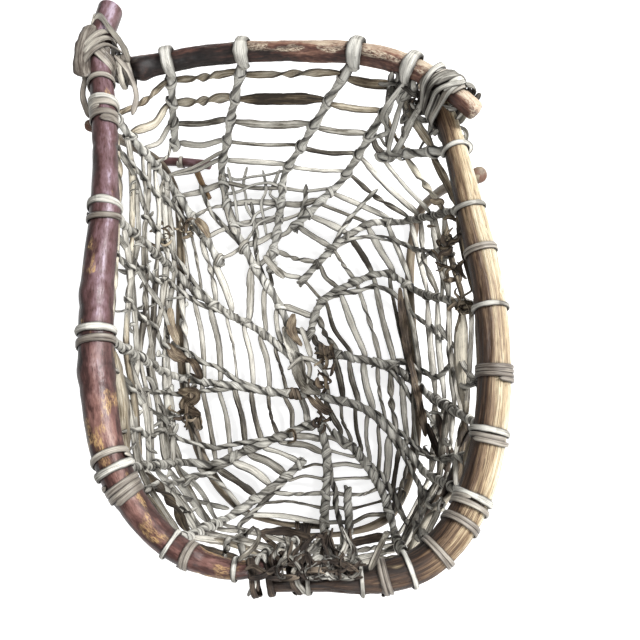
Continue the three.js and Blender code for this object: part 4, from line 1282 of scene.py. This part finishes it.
# Shreds: centre, how far they spread, number, tone, width
SHREDS = [
    ((122, 92, -44), (5, 14, 8), 20, .5, 4.2), ((128, 62, -40), (4, 9, 8), 9, .5, 3.8),
    ((126, 20, -26), (4, 5, 5), 16, .8, 3.4), ((8, 10, -180), (7, 6, 3), 14, .4, 3.4),
    ((-158, 172, -180), (6, 5, 4), 12, .8, 3.6), ((-180, 152, -150), (5, 6, 8), 10, .7, 3.4),
    ((2, -14, -180), (5, 5, 3), 8, .25, 4.4), ((-4, -60, -181), (6, 5, 3), 7, .4, 4.2),
    ((-146, -44, -174), (6, 12, 4), 12, .5, 4.0), ((104, 226, -12), (10, 9, 7), 14, .75, 3.6),
]
shape = Shape()
for n, (centre, size, count, tone, width) in enumerate(SHREDS):
    tuft(shape, centre, size, count, 820 + 40 * n, tone, width)
shape.make("shreds", "brown")

# Short crumpled pieces caught in the walls, between these rows
WALL_SPANS = [(18, 1), (1, 2), (2, 3), (3, 4), (1, 2), (8, 9), (9, 10), (2, 3)]
WALL_SHREDS = 64
rng = np.random.default_rng(88)
shape = Shape()
for n in range(WALL_SHREDS):
    centre = net_place(*WALL_SPANS[n % len(WALL_SPANS)], rng.uniform(.1, .9), rng.uniform(.3, 1.15))
    tuft(shape, centre, (2, 4, 4), 1, 1300 + 3 * n, rng.uniform(.2, .8), 4.6)
shape.make("wall_shreds", "cord")


# Bindings

# Name, rod, place, turns, width, tone
BINDINGS = [
    ("left_top", left, -50.2, 36.5, 2, 7.5, .45), ("left_low", left, -37.5, -25, 3, 5.4, .4),
    ("left_bend", left, -24.2, -33.9, 2, 3.8, .4), ("right_top", right, 34.2, 11.5, 2, 3.4, .5),
    ("right_middle", right, 35.8, -7.8, 2, 3.6, .3), ("right_low", right, 26, -29.6, 2, 3.4, .38),
    ("right_bend", right, 21.5, -33.5, 2, 3.4, .45), ("right_end", right, 11.8, -36.7, 2, 3.6, .3),
]
for i, (name, rod, across, along, turns, width, tone) in enumerate(BINDINGS):
    node = "rim_binding_" + name
    shape = Shape()
    wrap(shape, rod, rod.length_at(plan(across, along)), turns, width, seed_of(node), tone, start=0.7 * i,
         lean=2.2 * math.sin(2.1 * i))
    shape.make(node + "_strip", "binding", node)

# More single wraps on the rim rods: rod, place, how far from it along the rod, width, tone
ROD_WRAPS = [
    (left, -50.2, 36.5, -13, 7.0, .8), (left, -47.8, 19.4, 11, 5.5, .35), (left, -46.8, -1.9, 10, 6.5, .3),
    (left, -39.5, -22.6, -9, 5.0, .7), (right, 35.8, -7.8, 7, 4.0, .2), (right, 33.5, -17.2, 6, 4.0, .5),
    (right, 29.5, -26.3, 7, 4.4, .6), (left, -52.5, 44, 0, 6.0, .65),
]
shape = Shape()
for i, (rod, across, along, shift, width, tone) in enumerate(ROD_WRAPS):
    wrap(shape, rod, rod.length_at(plan(across, along)) + shift, 1.3, width, 860 + i, tone, 1.4,
         1.1 * i, 0.5, 2.5 * math.sin(1.7 * i))
shape.make("rod_wraps", "binding")

# Crosswise lashings where the left rod lies on the crossbar
left_at = left.station(plan(-53.2, 50.6))
bar_at = bar.station(left_at[0])
corner_middle = (left_at[0] + bar_at[0]) / 2
for i, hand in enumerate((1, -1)):
    node = f"corner_lashing_left_{i + 1}"
    across = left_at[1] + hand * bar_at[1]
    across[2] = 0
    across = unit(across)
    parts = [(c, a, r * math.sqrt(2) + 1.5, r + 0.6) for c, a, r in (left_at, bar_at)]
    shape = Shape()
    for j in range(2):
        wound(shape, corner_middle, np.cross(across, UP), across, parts, 1.6, 7.0, 1.6, start=0.4 + j * 0.5,
              pitch=5.0, seed=seed_of(node) + j, tone=0.35 + 0.35 * i + 0.15 * j, lean=1.2,
              layer=i * 1.8 + 0.4 * j, drift=(j - .5) * 6)
    shape.make(node + "_strip", "binding", node)

# Tall loops round the crossbar's butt beside the left rod: how far along, how tall, tone
shape = Shape()
for j, (at, tall, tone) in enumerate([(22, 12, .9), (31, 10, .75), (27, 7, .4)]):
    centre = read_at(at, bar.s, bar.points)
    along = read_at(at, bar.s, bar.run)
    across = unit(np.cross(along, UP))
    up = np.cross(across, along)
    radius = BAR_DIAMETER / 2
    middle = centre + across * tall * .45 + up * 1.5
    wound(shape, middle, along, across, [(middle, along, radius + tall * .55, radius + 1.2)], 1.15, 5.5, 1.8,
          start=-1.2 + .5 * j, pitch=1.0, seed=880 + j, tone=tone, lean=2.0)
# Loose ends round the left rod, and a broad strip along its top
LOOSE_ENDS = [
    ([(-222, 300, 5), (-214, 305, 13), (-202, 290, 14), (-190, 276, 4), (-188, 270, -8)], 7, .95),
    ([(-221, 318, 4), (-219, 306, 10), (-222, 292, 6), (-226, 276, -2)], 6, .8),
    ([(-196, 262, 10), (-184, 250, 2), (-178, 232, -10), (-182, 214, -16)], 5, .5),
    ([(-226, 262, -4), (-222, 246, 4), (-226, 226, -2), (-220, 206, -10)], 6, .35),
]
BROAD_TOP = [(-219, 296, 12), (-223, 282, 13), (-225, 266, 12), (-224, 248, 11), (-221, 236, 11)]
caught(shape, LOOSE_ENDS, 890, 1.8, 0.4, cup=0.3)
loose(shape, BROAD_TOP, 15, 1.5, 897, .2, 0.5, -1.2, ridge=0.8)
shape.make("butt_loops", "binding")

# Lashings where the crossbar lies on the right rod
for i, place in enumerate(route((26.7, 41.1), (28.8, 38))):
    node = f"corner_lashing_right_{i + 1}"
    shape = Shape()
    for j in range(2):
        wound(shape, *joined(right, bar, place, 3, .6), 1.6, 5.0, 1.4, start=0.4 + 1.3 * j, pitch=4.5,
              seed=seed_of(node) + j, tone=0.3 + 0.35 * j, lean=3.5 * (j - .5), layer=0.8 * j,
              drift=4 * (j - .5))
    shape.make(node + "_strip", "binding", node)

# Tangle of strips that hang from the far right corner into the net: long ones, crumpled
# ones, and windings round the crossing
KNOT_PLACES = np.array([(66, 240, 8), (84, 231, 12), (104, 224, 14), (122, 204, 8), (128, 180, 2)])
LOW_PLACES = np.array([(76, 200, -50), (88, 208, -42), (98, 196, -48), (82, 222, -28), (108, 200, -30),
                       (72, 214, -46)])
rng = np.random.default_rng(77)
shape = Shape()
for n in range(9):
    top = KNOT_PLACES[n % len(KNOT_PLACES)] + rng.normal(0, 3, 3)
    low = LOW_PLACES[(n * 5) % len(LOW_PLACES)] + rng.normal(0, 5, 3)
    middle = (top + low) / 2 + rng.normal(0, 6, 3)
    path = [top, middle, low, low + rng.normal(0, 9, 3)]
    loose(shape, path, rng.uniform(5, 8), 1.8, 900 + n, rng.uniform(.3, .9), 0.7, ridge=0.7)
for n in range(24):
    centre = KNOT_PLACES[n % len(KNOT_PLACES)]
    if n % 2:
        centre = centre * .6 + LOW_PLACES[n % len(LOW_PLACES)] * .4
    start = centre + rng.normal(0, 1, 3) * (5, 5, 4)
    path = curl(rng, centre, start, unit(rng.normal(0, 1, 3)), 4, .7, .9, (6, 9))
    loose(shape, path, rng.uniform(4, 7), 1.7, 1100 + n, rng.uniform(.1, .9), 1.0, 0.8, (10, 10), ridge=0.7)
crossing = joined(right, bar, plan(27.9, 39.3), 3, .6)
for n in range(8):
    tangled(shape, crossing, rng, 1150 + n, width=(4, 7.5), thick=1.6, layer=(1, 3), tone=(.15, .9),
            drift=(-14, 14), pitch=(2, 6), lean=(-8, 8))
shape.make("corner_tangle", "cord")


def lash_front(node, rod_a, rod_b, place, spread, count, dark, pale):
    """Windings round two rod ends in front, every third one pale."""
    seed = seed_of(node)
    rng = np.random.default_rng(seed)
    joint = joined(rod_a, rod_b, place, .3, .3)
    for j in range(count):
        tangled(pale if j % 3 == 2 else dark, joint, rng, seed + 10 * j, width=(3, 5), thick=1.4,
                layer=(0, 1.2), tone=(.2, .7), drift=(-spread, spread * .8), pitch=(2, 5), lean=(-5, 5))
    return rng


# The mat of short strips on the front lashing reaches from front to back. It lies on an arch
# round the rods, which stands this high over its foot.
MAT_FRONT = -197
MAT_BACK = -164
ARCH_MIDDLE = -192
ARCH_HALF = 16
ARCH_FOOT = -12
ARCH_HIGH = 26
MAT_STRIPS = 60

dark, pale = Shape(), Shape()
rng = lash_front("front_lashing_rim", left, right, plan(-7.5, -36.1), 21, 9, dark, pale)
for j in range(MAT_STRIPS):
    path = [np.array((rng.uniform(-34, 22), -186 - 6 * rng.random(), rng.uniform(8, 15)))]
    heading = unit(rng.normal(0, 1, 3) * (1, .8, .15))
    for _ in range(4):
        heading = unit(heading + rng.normal(0, .75, 3) * (1, 1, .3))
        place = path[-1] + heading * rng.uniform(5, 9)
        place[1] = np.clip(place[1], MAT_FRONT, MAT_BACK)
        over = max(0.0, 1 - ((place[1] - ARCH_MIDDLE) / ARCH_HALF) ** 2)
        place[2] = ARCH_FOOT + ARCH_HIGH * math.sqrt(over) + rng.normal(0, 1)
        path.append(place)
    target = dark if j % 3 else pale
    loose(target, path, rng.uniform(2.4, 5), 1.5, 1000 + j, rng.uniform(.1, .75), 1.2, 0.8, ridge=0.6)
pale.make("front_tangle", "cord")
dark.make("front_lashing_rim_fibre", "fibre", "front_lashing_rim")

shape = Shape()
lash_front("front_lashing_base", base_left, base_right, plan(-4, -31.9), 12, 5, shape, shape)
shape.make("front_lashing_base_fibre", "fibre", "front_lashing_base")

# Strips that fan out from the front tangle into the net: start, rows, share, height
FAN = [(-52, -188, 4, 6, .3, .7), (-26, -192, 4, 6, .8, .8), (-12, -195, 6, 7, .1, 1.1),
       (14, -192, 7, 8, .1, 1.15), (40, -190, 7, 8, .9, 1.0)]
shape = Shape()
for n, (x, y, a, b, t, q) in enumerate(FAN):
    low = net_place(a, b, t, q, 3)
    middle = (low + (x, y + 16, -10)) / 2 + (6 * (-1) ** n, 4, -8)
    path = [(x - 4, y + 1, 14), (x + 3, y + 12, 6), middle, low]
    loose(shape, path, 4 + n % 3, 1.7, 940 + n, 0.15 + .4 * (n % 4) / 3, 0.9, jig=2, ridge=0.7)
shape.make("front_fan", "warp")

# The hub: windings round the ends of two rows, and a broad curled strip
for node, row, thick, count in (("hub_knot_1", rows[9], 5.2, 5), ("hub_knot_2", rows[1], 4.6, 3)):
    mid = (row.places[-1] + row.places[-2]) / 2
    centre, along = row.at(mid), row.way(mid)
    across = unit(np.cross(along, UP))
    shape = Shape()
    for j in range(count):
        wound(shape, centre, along, across, [(centre, along, thick, thick)], 1.8, 4.5, 1.4, start=0.4 + j,
              pitch=4.8, seed=seed_of(node) + j, tone=0.45 + 0.15 * j, lean=2.0 * (-1) ** j, layer=0.4 * j,
              drift=3.0 * (j - 1))
    shape.make(node + "_fibre", "fibre", node)

level = NET_FLOOR + 6.5
path = route((-10.5, 9.3, level + 5), (-9, 6.7, level + 1), (-6.5, 2.2, level + 2),
             (-5, -1.9, level + 1), (-2, -4.4, level + 3), (0, -5.2, level + 6))
line = spline(path, 1.2)
_, normal, _ = carried(line)
s = lengths_along(line)
shape = Shape()
strip(shape, line, normal, 15 + 5 * wave(s, 16, 9), 1.4, 77, 0.5 + 0.7 * wave(s, 14, 5), cup=3.0, ridge=2.6,
      square=0.4, taper=(20, 14), sides=30, turn=0.9 * wave(s, 22, 8), rim=5)
shape.make("hub_strip_curl", "warp", "hub_strip")

for node, rod, place, look in (("rail_tie", rail, plan(-44.8, 51.5), "binding"),
                               ("stick_tie", stick, plan(-36.7, 44.4), "fibre")):
    shape = Shape()
    wrap(shape, rod, rod.length_at(place), 1.6, 4.5, seed_of(node), 0.8)
    shape.make(node + "_strip", look, node)


# Stage

# Where the camera stands, in millimetres from the middle of the rim
EYE = (0, -154.5, 475.5)
SENSOR_WIDTH = 36
LENS = 33.75
# What the lamps point at, and half the floor's side and its level, in metres
AIM = (0, 0, 0.1)
FLOOR_HALF = 4
FLOOR_LEVEL = -0.0005
WORLD_STRENGTH = 0.25


def spot(x, y, z):
    """A place of the rim's millimetres, in the frame."""
    return Vector((x + OFFSET[0], y + OFFSET[1], z + OFFSET[2])) / 1000


def placed(name, data):
    obj = bpy.data.objects.new(name, data)
    bpy.context.scene.collection.objects.link(obj)
    return obj


def look_at(obj, aim):
    obj.rotation_euler = (aim - obj.location).to_track_quat("-Z", "Y").to_euler()


def camera():
    data = bpy.data.cameras.new("camera")
    data.sensor_width = SENSOR_WIDTH
    data.lens = LENS
    data.clip_start = 0.01
    cam = placed("camera", data)
    cam.location = spot(*EYE)
    look_at(cam, spot(0, 0, 0))
    bpy.context.scene.camera = cam


def lamp(name, place, size, power):
    data = bpy.data.lights.new(name, "AREA")
    data.shape = "DISK"
    data.size = size
    data.energy = power
    obj = placed(name, data)
    obj.location = place
    look_at(obj, Vector(AIM))


def surroundings():
    world = bpy.data.worlds.new("world")
    bpy.context.scene.world = world
    world.use_nodes = True
    background = world.node_tree.nodes["Background"].inputs
    background["Color"].default_value = (1, 1, 1, 1)
    background["Strength"].default_value = WORLD_STRENGTH


def floor():
    """A pale floor that keeps the shadow and shows white around it."""
    mesh = bpy.data.meshes.new("floor")
    corners = ((-1, -1), (1, -1), (1, 1), (-1, 1))
    mesh.from_pydata([(x * FLOOR_HALF, y * FLOOR_HALF, FLOOR_LEVEL) for x, y in corners], [], [(0, 1, 2, 3)])
    look = Look("floor")
    look.tree.nodes.remove(look.shader)
    diffuse = look.add("ShaderNodeBsdfDiffuse", {"Color": (0.6, 0.6, 0.6, 1)})
    glow = look.add("ShaderNodeEmission", {"Strength": 0.8})
    both = look.add("ShaderNodeAddShader", {0: diffuse.outputs[0], 1: glow.outputs[0]})
    path = look.add("ShaderNodeLightPath")
    seen = look.sums("MAXIMUM", path.outputs["Is Camera Ray"], path.outputs["Is Glossy Ray"])
    mix = look.add("ShaderNodeMixShader", {0: seen, 1: diffuse.outputs[0], 2: both.outputs[0]})
    look.wire(look.output, {"Surface": mix.outputs[0]})
    mesh.materials.append(look.material)
    placed("floor", mesh)


camera()
lamp("key", (0.95, 0.4, 1.3), size=0.35, power=26)
lamp("front", (0.35, -1.0, 1.1), size=0.4, power=10)
surroundings()
floor()
bpy.context.scene.view_settings.view_transform = "Standard"
